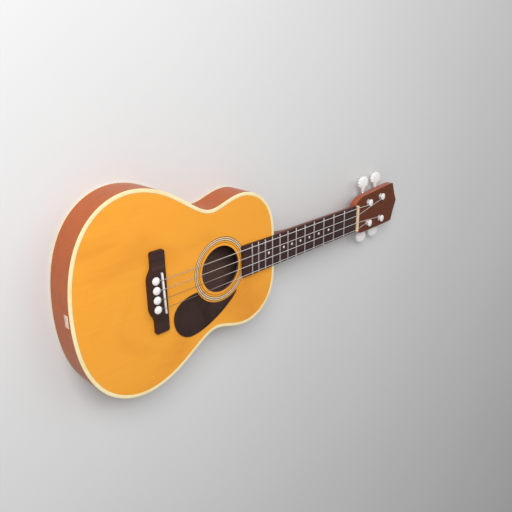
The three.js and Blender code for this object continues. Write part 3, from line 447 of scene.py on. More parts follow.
def moulded(name, colour, shade, rough, coat=0.1, speckle=90.0, specular=0.3):
    """Plastic or bone with a faint cloudiness and a fine surface."""
    material, tree, shader = new_finish(name, rough, coat=coat, coat_rough=0.08, specular=specular)
    cloud = noise(tree, seen_at(tree, (speckle, speckle, speckle)), 1.0, 4.0, 0.6, 0.4)
    tree.links.new(ramp(tree, cloud, ((0.3, shade), (0.6, colour))), shader.inputs["Base Color"])
    tree.links.new(spread(tree, cloud, rough - 0.04, rough + 0.06), shader.inputs["Roughness"])
    fine = noise(tree, seen_at(tree, (900, 900, 900)), 1.0, 2.0, 0.5)
    raise_by(tree, shader, fine, 0.02, 0.3)
    return material


def worked_metal(name, colour, shade, rough):
    """Metal with fine brush marks and a faint tarnish."""
    material, tree, shader = new_finish(name, rough, metal=1.0)
    marks = noise(tree, seen_at(tree, (300, 300, 1500)), 1.0, 3.0, 0.6)
    stain = noise(tree, seen_at(tree, (120, 120, 120)), 1.0, 4.0, 0.6, 0.5)
    tree.links.new(ramp(tree, stain, ((0.35, shade), (0.62, colour))), shader.inputs["Base Color"])
    tree.links.new(spread(tree, marks, rough - 0.08, rough + 0.12), shader.inputs["Roughness"])
    raise_by(tree, shader, marks, 0.01, 0.4)
    return material


def soundboard_spruce():
    """Orange lacquered spruce: close faint grain lines along the body and a few soft darker patches."""
    material, tree, shader = new_finish("lacquered_spruce", 0.34, coat=0.06, coat_rough=0.16, specular=0.16)
    lines = noise(tree, seen_at(tree, (3, 620, 3)), 1.0, 2.0, 0.5, 0.1)
    wide = noise(tree, seen_at(tree, (2, 90, 2), shift=(0.4, 0.2, 0)), 1.0, 3.0, 0.55, 0.3)
    patches = noise(tree, seen_at(tree, (7, 11, 7), shift=(0.9, 0.3, 0)), 1.0, 3.0, 0.5, 0.8)
    grain = ((0.25, linear(251, 170, 58)), (0.5, linear(253, 173, 61)), (0.8, linear(255, 177, 64)))
    colour = blended(tree, spread(tree, wide, 0.0, 0.4), ramp(tree, lines, grain), linear(246, 160, 50))
    shares = ramp(tree, patches, ((0.5, (0, 0, 0)), (0.78, (0.6, 0.6, 0.6))))
    colour = blended(tree, shares, colour, linear(222, 136, 46))
    tree.links.new(colour, shader.inputs["Base Color"])
    tree.links.new(spread(tree, patches, 0.3, 0.42), shader.inputs["Roughness"])
    raise_by(tree, shader, lines, 0.02, 0.12)
    return material


SPRUCE = soundboard_spruce()
SIDE_WOOD = grained_wood("side_mahogany", linear(200, 106, 54), linear(182, 93, 48), linear(148, 75, 42),
                         0.36, 0.06, 420, 60, turn=(math.pi / 2, 0, 0), pores=0.4, specular=0.2)
BACK_WOOD = grained_wood("back_mahogany", linear(202, 104, 58), linear(178, 88, 50), linear(130, 64, 40),
                         0.34, 0.1, 420, 45, pores=0.4)
# Mahogany darker than the head's: partly its own colour, partly painted shade along the neck's side under the
# board.
NECK_WOOD = grained_wood("neck_mahogany_painted_shade", linear(140, 74, 50), linear(118, 61, 42), linear(88, 46, 34),
                         0.38, 0.06, 380, 60, pores=0.4)
HEAD_WOOD = grained_wood("headstock_mahogany", linear(186, 98, 64), linear(164, 84, 56), linear(128, 64, 44),
                         0.36, 0.06, 360, 60, pores=0.3)
HEAD_FACE = grained_wood("headstock_face", linear(124, 68, 44), linear(108, 58, 38), linear(84, 44, 31),
                         0.42, 0.0, 360, 60, pores=0.4, specular=0.08)
BOARD_WOOD = grained_wood("board_rosewood", linear(76, 52, 50), linear(60, 42, 41), linear(40, 28, 28),
                          0.46, 0.0, 480, 90, pores=0.6, specular=0.14)
BRIDGE_WOOD = grained_wood("bridge_rosewood", linear(74, 52, 47), linear(60, 42, 38), linear(42, 29, 27),
                           0.44, 0.03, 480, 90, turn=(0, 0, math.pi / 2), pores=0.5, specular=0.14)
INSIDE_WOOD = grained_wood("inside_spruce", linear(186, 142, 92), linear(166, 122, 76), linear(132, 92, 58),
                           0.7, 0.0, 400, 70, specular=0.1)
# Inside wood colour darkened with painted shade, for the dimness inside the body and on the sound hole's
# wall.
INSIDE_PAINTED_SHADE = grained_wood("inside_wood_painted_shade", linear(122, 95, 87), linear(108, 83, 76), linear(84, 63, 57),
                           0.7, 0.0, 400, 45, pores=0.3, specular=0.05)
BINDING = moulded("cream_binding", linear(255, 240, 190), linear(248, 226, 166), 0.36, 0.1, 40)
PURFLING = moulded("dark_purfling", linear(78, 48, 30), linear(58, 36, 24), 0.5, 0.0, 60, specular=0.1)
EDGE_LINE = moulded("edge_line", linear(236, 176, 100), linear(220, 156, 80), 0.5, 0.0, 60, specular=0.1)
ROSETTE_PALE = moulded("rosette_pale_ring", linear(250, 228, 186), linear(236, 208, 162),
                       0.42, 0.05, 120, specular=0.15)
ROSETTE_BAND = moulded("rosette_band", linear(164, 130, 106), linear(124, 96, 78),
                       0.42, 0.05, 500, specular=0.15)
GUARD = moulded("pickguard_tortoise", linear(64, 48, 44), linear(50, 37, 35), 0.5, 0.0, 35, specular=0.1)
WHITE = moulded("white_plastic", linear(253, 252, 250), linear(243, 241, 238), 0.3, 0.1, 150)
PEARL = moulded("pearl_buttons", linear(255, 255, 253), linear(240, 239, 238), 0.26, 0.2, 260)
DOT_SHELL = moulded("shell_dots", linear(248, 240, 226), linear(226, 214, 196), 0.3, 0.1, 400)
TAIL_BONE = moulded("rosy_bone", linear(242, 208, 186), linear(224, 186, 162), 0.42, 0.0, 110)
BONE = moulded("aged_bone", linear(246, 222, 184), linear(228, 200, 156), 0.42, 0.0, 110)
NICKEL = worked_metal("nickel_plate", (0.86, 0.84, 0.81), (0.72, 0.70, 0.67), 0.26)
BRASS = worked_metal("gear_brass", (0.72, 0.52, 0.25), (0.54, 0.38, 0.17), 0.34)
SATIN_NICKEL = worked_metal("satin_nickel", (0.97, 0.96, 0.95), (0.90, 0.89, 0.88), 0.5)
FRET_METAL = worked_metal("fret_metal", (0.97, 0.92, 0.90), (0.90, 0.85, 0.82), 0.36)
STEEL = worked_metal("plain_steel", (0.95, 0.90, 0.85), (0.84, 0.79, 0.74), 0.34)


def string_wire(name, wound):
    """Wire painted dark near the bridge as shade and bright towards the board as a highlight; a wound string
    shows the rings of its wrapping along X.
    """
    material, tree, shader = new_finish(name, 0.4, metal=0.2)
    along = tree.nodes.new("ShaderNodeSeparateXYZ")
    tree.links.new(seen_at(tree, (4.0, 4.0, 4.0)), along.inputs[0])
    # Painted shade and highlight: dark from the bridge over the top, brightening over the hole to bright over
    # the board.
    colour = ramp(tree, along.outputs["X"], ((0.08, (0.22, 0.17, 0.12)), (0.42, (0.98, 0.95, 0.94))))
    if wound:
        rings = tree.nodes.new("ShaderNodeTexWave")
        rings.wave_type = "BANDS"
        rings.bands_direction = "X"
        rings.inputs["Scale"].default_value = 1000.0
        tree.links.new(seen_at(tree, (1.0, 1.0, 1.0)), rings.inputs["Vector"])
        colour = blended(tree, rings.outputs["Fac"], (0.72, 0.64, 0.55), colour)
        raise_by(tree, shader, rings.outputs["Fac"], 0.08, 0.8)
    tree.links.new(colour, shader.inputs["Base Color"])
    return material


WOUND = string_wire("wound_wire", True)
PLAIN = string_wire("plain_wire", False)


# Body: one outline, filled, drawn in and raised

def filled_outline(name, knots, steps):
    """A closed Bezier curve made one flat face; each knot is a place with its handles before and after."""
    curve = bpy.data.curves.new(name, "CURVE")
    curve.dimensions = "2D"
    curve.fill_mode = "NONE"
    curve.resolution_u = steps
    spline = curve.splines.new("BEZIER")
    spline.bezier_points.add(len(knots) - 1)
    spline.use_cyclic_u = True
    for knot, (place, before, after) in zip(spline.bezier_points, knots):
        knot.handle_left_type = knot.handle_right_type = "FREE"
        knot.co = (place[0] * MM, place[1] * MM, 0)
        knot.handle_left = (before[0] * MM, before[1] * MM, 0)
        knot.handle_right = (after[0] * MM, after[1] * MM, 0)
    loop = bpy.data.objects.new(name, curve)
    bpy.context.collection.objects.link(loop)
    choose(loop)
    bpy.ops.object.convert(target="MESH")
    loop = bpy.context.object
    open_up(loop)
    bpy.ops.mesh.select_mode(type="VERT")
    bpy.ops.mesh.select_all(action="SELECT")
    bpy.ops.mesh.remove_doubles(threshold=0.00002)
    bpy.ops.mesh.edge_face_add()
    face_outwards()
    close_up()
    return loop


def body_outline():
    """The body's outline at the back's height, from the tail round the bass side and back."""
    (xl, yl), (xw, yw), (xu, yu) = LOWER, WAIST, UPPER
    xt, xn, yn = TAIL_X, JOINT_X, HEEL_FLAT
    bass = (
        ((xt, 0), (xt, -0.86 * yl), (xt, 0.86 * yl)),
        ((xl, yl), (xl - 0.31 * (xl - xt), yl), (xl + 0.48 * (xw - xl), yl)),
        ((xw, yw), (xw - 0.23 * (xw - xl), yw), (xw + 0.29 * (xu - xw), yw)),
        ((xu, yu), (xu - 0.43 * (xu - xw), yu), (xu + 0.24 * (xn - xu), yu)),
        ((xn, yn), (xn, yn + 0.85 * (yu - yn)), (xn, yn / 3)),
    )
    treble = [((p[0], -p[1]), (b[0], -b[1]), (a[0], -a[1])) for p, a, b in bass[:0:-1]]
    return filled_outline("body_outline", list(bass) + treble, 32)


def keep_inner(inset):
    """Draws the filled outline in and removes the rim outside."""
    if inset > 0:
        bpy.ops.mesh.inset(thickness=inset * MM, depth=0, use_even_offset=True)
        bpy.ops.mesh.select_all(action="INVERT")
        bpy.ops.mesh.delete(type="FACE")
        bpy.ops.mesh.select_all(action="SELECT")


def raised_to(piece, bottom, top):
    """Draws the open flat piece up to its thickness and closes it."""
    bpy.ops.mesh.select_all(action="SELECT")
    draw_out(0, 0, top - bottom)
    bpy.ops.mesh.select_all(action="SELECT")
    bpy.ops.transform.translate(value=(0, 0, bottom * MM))
    face_outwards()
    close_up()
    return piece


def body_plate(name, inset, bottom, top):
    """A plate of the body's outline, drawn in by a distance."""
    piece = copy_of(OUTLINE, name)
    open_up(piece)
    bpy.ops.mesh.select_all(action="SELECT")
    keep_inner(inset)
    return raised_to(piece, bottom, top)


def body_band(name, outer, inner, bottom, top):
    """A closed strip along the body's outline between two distances from it."""
    piece = copy_of(OUTLINE, name)
    open_up(piece)
    bpy.ops.mesh.select_all(action="SELECT")
    keep_inner(outer)
    bpy.ops.mesh.inset(thickness=(inner - outer) * MM, depth=0, use_even_offset=True)
    bpy.ops.mesh.delete(type="FACE")
    return raised_to(piece, bottom, top)


def ring(name, inner, outer, bottom, top):
    """A flat ring round the middle of the sound hole."""
    bpy.ops.object.select_all(action="DESELECT")
    bpy.ops.mesh.primitive_circle_add(vertices=160, radius=outer * MM, fill_type="NGON",
                                      location=(HOLE_X * MM, 0, 0))
    piece = name_new(name)
    set_down(piece)
    open_up(piece)
    bpy.ops.mesh.select_all(action="SELECT")
    bpy.ops.mesh.inset(thickness=(outer - inner) * MM, depth=0, use_even_offset=True)
    bpy.ops.mesh.delete(type="FACE")
    return raised_to(piece, bottom, top)


def disc(name, radius, bottom, top, x, y, corners=160):
    bpy.ops.object.select_all(action="DESELECT")
    bpy.ops.mesh.primitive_cylinder_add(vertices=corners, radius=radius * MM, depth=(top - bottom) * MM,
                                        location=(x * MM, y * MM, (top + bottom) / 2 * MM))
    piece = name_new(name)
    set_down(piece)
    return piece


OUTLINE = body_outline()


def make_soundboard():
    inset = TOP_BINDING[0] + PURFLING_WIDTH
    groove_foot, over = BODY_DEPTH - GROOVE_DEPTH, BODY_DEPTH + OVERRUN
    piece = body_plate("spruce_top", inset, BODY_DEPTH - TOP_THICKNESS, BODY_DEPTH)
    cut_by(piece, disc("hole_cutter", HOLE_RADIUS, BODY_DEPTH - TOP_THICKNESS - OVERRUN, over, HOLE_X, 0))
    cut_by(piece, ring("groove_cutter", ROSETTE_RADII[0], ROSETTE_RADII[-1], groove_foot, over))
    cut_by(piece, ring("fine_groove_cutter", *FINE_LINE_RADII, groove_foot, over))
    smooth(piece)
    deliver(piece, SPRUCE, stands_for=("soundboard",))
    # The underside and the sound hole's wall take the inside wood darkened with painted shade; on the wall it
    # is a painted shadow at the hole's rim.
    hole = Vector((HOLE_X * MM, 0))
    face_with(piece, INSIDE_PAINTED_SHADE, lambda centre, normal: normal.z < -0.5 or (
        abs(normal.z) < 0.5 and (centre.xy - hole).length < (HOLE_RADIUS + 1) * MM))


def make_bindings():
    bottom = BODY_DEPTH - TOP_BINDING[1]
    top = body_band("top_edge_binding", 0, TOP_BINDING[0], bottom, BODY_DEPTH)
    round_edges(top, 0.35, 3)
    smooth(top)
    deliver(top, BINDING, stands_for=("top_binding",))
    inner_line = body_band("inner_purfling", TOP_BINDING[0], TOP_BINDING[0] + PURFLING_WIDTH,
                           bottom, BODY_DEPTH)
    smooth(inner_line)
    deliver(inner_line, EDGE_LINE)
    side_line = body_band("side_purfling", *SIDE_LINE, bottom - GAP, bottom)
    smooth(side_line)
    deliver(side_line, EDGE_LINE)
    back = body_band("back_edge_binding", 0, BACK_BINDING[0], GAP, BACK_BINDING[1])
    round_edges(back, 0.3, 3)
    smooth(back)
    deliver(back, BINDING, stands_for=("back_binding",))


def faces_inwards(centre, normal):
    """Tells whether a face of the sides looks towards the middle of the body."""
    middle = min(max(centre.x, BODY_SPINE[0] * MM), BODY_SPINE[1] * MM)
    return normal.x * (centre.x - middle) + normal.y * centre.y < 0


def make_sides():
    top = BODY_DEPTH - TOP_BINDING[1] - GAP
    whole = body_band("bent_sides", 0, SIDE_THICKNESS, BACK_BINDING[1], top)
    for name, side in (("bass_side", 1), ("treble_side", -1)):
        half = copy_of(whole, f"bent_{name}")
        open_up(half)
        bpy.ops.mesh.select_all(action="SELECT")
        bpy.ops.mesh.bisect(plane_co=(0, SIDE_SEAM / 2 * MM * side, 0), plane_no=(0, side, 0),
                            use_fill=True, clear_inner=True)
        face_outwards()
        close_up()
        smooth(half)
        deliver(half, SIDE_WOOD, stands_for=(name,))
        # Inward faces take the inside wood darkened with painted shade.
        face_with(half, INSIDE_PAINTED_SHADE,
                  lambda centre, normal: abs(normal.z) < 0.5 and faces_inwards(centre, normal))
    bpy.data.objects.remove(whole, do_unlink=True)


def make_back():
    piece = body_plate("flat_back", BACK_BINDING[0], 0.0, BACK_THICKNESS)
    round_edges(piece, 0.25, 2)
    smooth(piece)
    deliver(piece, BACK_WOOD, stands_for=("back_plate",))
    # The inner face takes the inside wood darkened with painted shade.
    face_with(piece, INSIDE_PAINTED_SHADE, lambda centre, normal: normal.z > 0.9)


def make_rosette():
    bottom, top = BODY_DEPTH - INLAY_DEPTH, BODY_DEPTH + INLAY_RISE
    rings = (("rosette_inner_line", PURFLING), ("rosette_inner_ring", ROSETTE_PALE),
             ("rosette_band_ring", ROSETTE_BAND), ("rosette_outer_ring", ROSETTE_PALE),
             ("rosette_outer_line", PURFLING))
    for (name, finish), inner, outer in zip(rings, ROSETTE_RADII, ROSETTE_RADII[1:]):
        piece = ring(name, inner, outer, bottom, top)
        smooth(piece)
        deliver(piece, finish, stands_for=("rosette",) if finish is ROSETTE_BAND else ())
    fine_line = ring("rosette_fine_line", *FINE_LINE_RADII, bottom, top)
    smooth(fine_line)
    deliver(fine_line, PURFLING)


def guard_knots():
    """Knots of the pickguard's outline round the middle of the sound hole."""
    def on_arc(degrees):
        angle = math.radians(degrees)
        return GUARD_RADIUS * math.cos(angle), GUARD_RADIUS * math.sin(angle)

    arm = GUARD_RADIUS * 4 / 3 * math.tan(math.radians((GUARD_TO - GUARD_FROM) / GUARD_ARC_STEPS / 4))

    def along(point, sign):
        share = sign * arm / GUARD_RADIUS
        return point[0] + share * point[1], point[1] - share * point[0]

    start, end = on_arc(GUARD_FROM), on_arc(GUARD_TO)
    tail = SADDLE_X + GUARD_TO_SADDLE - HOLE_X
    reach, low = GUARD_LOW
    bulb, tip = GUARD_HANDLES["bulb"], GUARD_HANDLES["tip"]
    knots = [
        (start, along(start, -1), (start[0] - GUARD_HANDLES["shoulder"], start[1])),
        ((tail, GUARD_BULB), (tail, GUARD_BULB + bulb), (tail, GUARD_BULB - bulb)),
        ((reach, low), (reach - GUARD_HANDLES["foot"], low), (reach + GUARD_HANDLES["sweep"], low)),
        (end, (end[0] - tip[0], end[1] - tip[1]), along(end, 1)),
    ]
    for step in range(1, GUARD_ARC_STEPS):
        point = on_arc(GUARD_TO + (GUARD_FROM - GUARD_TO) * step / GUARD_ARC_STEPS)
        knots.append((point, along(point, -1), along(point, 1)))
    return [tuple((HOLE_X + x, y) for x, y in knot) for knot in knots]


def make_pickguard():
    piece = filled_outline("drop_pickguard", guard_knots(), 20)
    open_up(piece)
    raised_to(piece, BODY_DEPTH + 0.05, BODY_DEPTH + GAP + GUARD_THICKNESS)
    round_edges(piece, 0.4, 3)
    smooth(piece)
    deliver(piece, GUARD, stands_for=("pickguard",))


make_soundboard()
make_bindings()
make_sides()
make_back()
make_rosette()
make_pickguard()
bpy.data.objects.remove(OUTLINE, do_unlink=True)


# Bridge, saddle and pins

def make_bridge():
    deliver(eased_copy("bridge", "belly_bridge", 0.7, 25, 3), BRIDGE_WOOD,
            stands_for=("bridge",))
    deliver(eased_copy("saddle", "slanted_saddle", 0.25, 25, 2), WHITE,
            stands_for=("saddle",))


def make_pins():
    tip, seat = BODY_DEPTH - PIN_REACH, BRIDGE_TOP + GAP
    profile = [(PIN_SHANK - 0.2, tip), (PIN_SHANK, tip + 0.4), (PIN_SHANK, seat), (PIN_HEAD - 0.3, seat),
               (PIN_HEAD, seat + 0.3), (PIN_HEAD, seat + PIN_RIM), *dome(PIN_HEAD, seat + PIN_RIM, PIN_DOME)]
    for i, diameter in enumerate(STRING_DIAMETERS):
        piece = turned_up(f"domed_pin_{i + 1}", profile, 48)
        bpy.ops.mesh.primitive_cube_add(size=1, location=((PIN_SHANK + NOTCH_LENGTH / 2) * MM, 0, seat * MM))
        notch = name_new("notch_cutter")
        notch.scale = (NOTCH_LENGTH * MM, (diameter + NOTCH_PLAY) * MM, 2 * BODY_DEPTH * MM)
        set_down(notch)
        cut_by(piece, notch)
        smooth(piece, 35)
        carry(piece, Matrix.Translation((PIN_X, (1.5 - i) * PIN_SPACING, 0)))
        deliver(piece, WHITE, stands_for=(f"bridge_pin_{i + 1}",))


make_bridge()
make_pins()


# Neck, headstock, board and nut

def board_half(x):
    share = (NECK_LENGTH - x) / (NECK_LENGTH + BOARD_OVER_BODY)
    return (BOARD_WIDTHS[0] + (BOARD_WIDTHS[1] - BOARD_WIDTHS[0]) * share) / 2


def neck_depth(x):
    at_nut, at_heel = NECK_DEPTHS
    depth = at_heel + (at_nut - at_heel) * x / NECK_LENGTH
    sweep = max(0.0, 1 - max(0.0, x) / HEEL_LENGTH) ** HEEL_SWEEP
    return depth + (HEEL_REACH - depth) * sweep


def half_round(name, x):
    """A D-shaped face across the neck, flat side up, fuller than a true half round."""
    bpy.ops.object.select_all(action="DESELECT")
    bpy.ops.mesh.primitive_circle_add(vertices=72, radius=1.0, fill_type="NGON", location=(0, 0, 0),
                                      rotation=(0, math.pi / 2, 0))
    piece = name_new(name)
    set_down(piece)
    open_up(piece)
    bpy.ops.mesh.select_all(action="SELECT")
    bpy.ops.mesh.bisect(plane_co=(0, 0, 0), plane_no=(0, 0, 1), use_fill=False, clear_outer=True)
    close_up()
    across_share, down_share = NECK_ROUND_SHARES
    for corner in piece.data.vertices:
        angle = math.atan2(-corner.co.z, corner.co.y)
        across = math.cos(angle)
        side = math.copysign(abs(across) ** across_share, across) if abs(across) > 1e-6 else 0.0
        down = max(0.0, math.sin(angle)) ** down_share
        corner.co = (x * MM, side * board_half(x) * MM, -down * neck_depth(x) * MM)
    return piece


def make_neck():
    end = NECK_LENGTH + HEAD_START
    stations = [GAP + HEEL_LENGTH * (i / 22) ** 1.25 for i in range(23)]
    stations += [HEEL_LENGTH + (end - HEEL_LENGTH) * i / 10 for i in range(1, 11)]
    shaft = half_round("neck_wood", stations[0])
    open_up(shaft)
    bpy.ops.mesh.select_all(action="SELECT")
    for before, x in zip(stations, stations[1:]):
        draw_out(x - before, 0, 0)
        wide = board_half(x) / board_half(before)
        deep = neck_depth(x) / neck_depth(before)
        bpy.ops.transform.resize(value=(1, wide, deep), center_override=(x * MM, 0, 0))
    face_outwards()
    close_up()
    carry(shaft, NECK_FRAME)
    open_up(shaft)
    bpy.ops.mesh.select_all(action="SELECT")
    bpy.ops.mesh.bisect(plane_co=(0, 0, HEEL_FOOT * MM), plane_no=(0, 0, 1), use_fill=True, clear_inner=True)
    bpy.ops.mesh.select_all(action="SELECT")
    bpy.ops.mesh.bisect(plane_co=((JOINT_X + GAP) * MM, 0, 0), plane_no=(1, 0, 0),
                        use_fill=True, clear_inner=True)
    face_outwards()
    close_up()
    smooth(shaft, 40)
    deliver(shaft, NECK_WOOD, stands_for=("neck",))


def headstock_outline():
    start, neck_half, shoulder, wide, corner = HEAD_START, BOARD_WIDTHS[0] / 2, 30.7, 33.6, 32.5
    at_shoulder, length, at_wide, at_corner = 28.0, 138.7, 110.0, 124.0
    dip = (at_corner + length) / 2 - 2

    def bend(a, control, b, steps):
        return [tuple((1 - t) ** 2 * a[k] + 2 * t * (1 - t) * control[k] + t * t * b[k] for k in (0, 1))
                for t in [i / steps for i in range(1, steps + 1)]]

    half = [(start, neck_half)]
    half += bend(half[-1], (start + 0.6 * (at_shoulder - start), shoulder), (at_shoulder, shoulder), 12)
    half.append((at_wide, wide))
    half += bend(half[-1], (at_corner, wide), (at_corner, corner), 10)
    half += bend(half[-1], (dip, corner / 2), (length, 0), 14)
    return half


def make_headstock():
    half = headstock_outline()
    outline = [(x, -y) for x, y in half] + half[-2::-1]
    shape = bpy.data.meshes.new("headstock_wood")
    corners = [(x * MM, y * MM, -HEAD_THICKNESS * MM) for x, y in outline]
    shape.from_pydata(corners, [], [tuple(range(len(corners)))])
    piece = bpy.data.objects.new("headstock_wood", shape)
    bpy.context.collection.objects.link(piece)
    open_up(piece)
    bpy.ops.mesh.select_all(action="SELECT")
    draw_out(0, 0, HEAD_THICKNESS)
    face_outwards()
    close_up()
    for _, s, y, _ in TUNERS:
        cut_by(piece, disc("post_cutter", POST_BORE, -HEAD_THICKNESS - OVERRUN, OVERRUN, s, y, 40))
    round_edges(piece, 0.9, 3, 40)
    smooth(piece, 40)
    carry(piece, HEAD_FRAME)
    deliver(piece, HEAD_WOOD)
    face_up = HEAD_FRAME.to_3x3() @ Vector((0, 0, 1))
    face_with(piece, HEAD_FACE, lambda centre, normal: normal.dot(face_up) > 0.9)


def make_heel_cap():
    deliver(eased_copy("heel_cap", "heel_cap_dark", 0.3, 30, 2), BOARD_WOOD,
            stands_for=("heel_cap",))


def fret_places():
    places = [NECK_LENGTH - FIRST_FRET_SHARE * SCALE_LENGTH]
    space = SECOND_FRET_SHARE * SCALE_LENGTH
    while len(places) < FRET_COUNT:
        places.append(places[-1] - space)
        space *= NEXT_FRET_SHARE
    return places


def make_board():
    bpy.ops.object.select_all(action="DESELECT")
    long = NECK_LENGTH - GAP + BOARD_OVER_BODY
    middle = (NECK_LENGTH - GAP - BOARD_OVER_BODY) / 2
    bpy.ops.mesh.primitive_cube_add(size=1, location=(middle * MM, 0, BOARD_THICKNESS / 2 * MM))
    board = name_new("fingerboard_wood")
    board.scale = (long * MM, BOARD_WIDTHS[1] * MM, BOARD_THICKNESS * MM)
    set_down(board)
    open_up(board)
    pick_corners(board, lambda co: co.x > 0)
    bpy.ops.transform.resize(value=(1, BOARD_WIDTHS[0] / BOARD_WIDTHS[1], 1),
                             center_override=((NECK_LENGTH - GAP) * MM, 0, 0))
    pick_corners(board, lambda co: co.z < 0.5 * MM)
    bpy.ops.transform.translate(value=(0, 0, GAP * MM))
    bpy.ops.mesh.select_mode(type="FACE")
    bpy.ops.mesh.select_all(action="SELECT")
    bpy.ops.mesh.bisect(plane_co=(0, 0, 0), plane_no=(1, 0, 0))
    pick_corners(board, lambda co: co.x < -1 * MM and co.z < 1 * MM)
    bpy.ops.transform.translate(value=(0, 0, -BOARD_OVER_BODY * math.tan(NECK_PITCH) * MM))
    face_outwards()
    close_up()
    round_edges(board, 0.5, 3)
    smooth(board)
    carry(board, NECK_FRAME)
    deliver(board, BOARD_WOOD, stands_for=("fingerboard",))


def make_frets():
    bpy.ops.object.select_all(action="DESELECT")
    bpy.ops.mesh.primitive_cylinder_add(vertices=28, radius=FRET_RADIUS * MM, depth=1.0, location=(0, 0, 0),
                                        rotation=(math.pi / 2, 0, 0))
    pattern = name_new("fret_pattern")
    set_down(pattern)
    open_up(pattern)
    bpy.ops.mesh.select_all(action="SELECT")
    bpy.ops.mesh.bisect(plane_co=(0, 0, -0.05 * MM), plane_no=(0, 0, 1), use_fill=True, clear_inner=True)
    face_outwards()
    close_up()
    for i, x in enumerate(fret_places()):
        fret = copy_of(pattern, f"fret_{i + 1}")
        fret.scale = (1, 2 * (board_half(x) - FRET_INSET) * MM, 1)
        fret.location = (x * MM, 0, BOARD_THICKNESS * MM)
        set_down(fret)
        round_edges(fret, 0.3, 2, 60)
        smooth(fret)
        carry(fret, NECK_FRAME)
        deliver(fret, FRET_METAL)
    bpy.data.objects.remove(pattern, do_unlink=True)


def make_dots():
    places = [NECK_LENGTH] + fret_places()
    for number in DOTTED_FRETS:
        x = (places[number - 1] + places[number]) / 2
        dot = disc(f"position_dot_{number}", DOT_RADIUS, BOARD_THICKNESS - 1, BOARD_THICKNESS + 0.03,
                   x, 0, 32)
        round_edges(dot, 0.02, 1)
        smooth(dot)
        carry(dot, NECK_FRAME)
        deliver(dot, DOT_SHELL)


def make_nut():
    deliver(eased_copy("nut", "slotted_nut", 0.25, 30, 2), BONE, stands_for=("nut",))


make_neck()
make_headstock()
make_heel_cap()
make_board()
make_frets()
make_dots()
make_nut()


# Tuning machines

def post_pattern():
    """The post from the screw head under its gear up to its cap, made round its own axis."""
    over_gear, under_gear = SHAFT_HEIGHT + GEAR_HALF + GAP, SHAFT_HEIGHT - GEAR_HALF - GAP
    foot = under_gear - POST_FOOT
    profile = [(POST_RADIUS - 0.3, foot), (POST_RADIUS, foot + 0.3), (POST_RADIUS, under_gear),
               (POST_STUB, under_gear), (POST_STUB, over_gear), (POST_RADIUS, over_gear),
               (POST_RADIUS, POST_CAP_FOOT), (POST_CAP_RADIUS - 0.3, POST_CAP_FOOT),
               (POST_CAP_RADIUS, POST_CAP_FOOT + 0.3), (POST_CAP_RADIUS, POST_CAP_RIM),
               *dome(POST_CAP_RADIUS, POST_CAP_RIM, POST_DOME)]
    piece = turned_up("post_pattern", profile)
    smooth(piece, 35)
    return piece


def ferrule_pattern():
    piece = turned_up("ferrule_pattern", [(4.2, -5), (4.2, 0.05), (5.0, 0.05), (5.0, 0.7), (4.6, 1.0)], 48)
    cut_by(piece, disc("bore_cutter", 3.25, -10, 5, 0, 0, 40))
    smooth(piece, 35)
    return piece


def button_pattern():
    """A scalloped button on its stem, the stem towards -Y, made round its own centre."""
    corners = SCALLOPS * SCALLOP_STEPS
    bpy.ops.object.select_all(action="DESELECT")
    bpy.ops.mesh.primitive_cylinder_add(vertices=corners, radius=BUTTON_RADIUS * MM,
                                        depth=BUTTON_THICKNESS * MM, location=(0, 0, 0))
    piece = name_new("button_pattern")
    open_up(piece)

    def step_of(co):
        return round(math.atan2(co.y, co.x) / (2 * math.pi) * corners) % SCALLOP_STEPS

    for step in range(SCALLOP_STEPS):
        reach = 1 + SCALLOP_SHARE * math.cos(2 * math.pi * step / SCALLOP_STEPS)
        pick_corners(piece, lambda co, step=step: step_of(co) == step)
        bpy.ops.transform.resize(value=(reach, reach, 1), center_override=(0, 0, 0))
    for up in (1, -1):
        pick_faces(piece, lambda centre, normal, up=up: normal.z * up > 0.9)
        for lift, share in ((0.85, 0.93), (0.65, 0.88), (0.4, 0.82), (0.2, 0.7)):
            draw_out(0, 0, lift * up)
            bpy.ops.transform.resize(value=(share, share, 1), center_override=(0, 0, 0))
    bpy.ops.mesh.select_all(action="SELECT")
    bpy.ops.transform.resize(value=(BUTTON_WIDTH_SHARE, 1, 1), center_override=(0, 0, 0))
    face_outwards()
    close_up()
    stem = turned_up("stem", [(3.0, -4.4), (3.0, -14.8), (2.6, -15.4)], 32)
    stem.rotation_euler = (-math.pi / 2, 0, 0)
    set_down(stem)
    cut_by(piece, stem, "UNION")
    smooth(piece, 35)
    return piece


def screw_pattern():
    """A small round-headed screw, head down, seen from behind the headstock."""
    profile = [(0.7, 0.1), (0.7, 0.0), (1.5, -0.05), (1.5, -0.3), (1.25, -0.65), (0.7, -0.85)]
    piece = turned_up("screw_pattern", profile, 28)
    bpy.ops.mesh.primitive_cube_add(size=1, location=(0, 0, -0.85 * MM), scale=(4 * MM, 0.4 * MM, 0.6 * MM))
    slot_cutter = name_new("slot_cutter")
    set_down(slot_cutter)
    cut_by(piece, slot_cutter)
    smooth(piece, 35)
    return piece


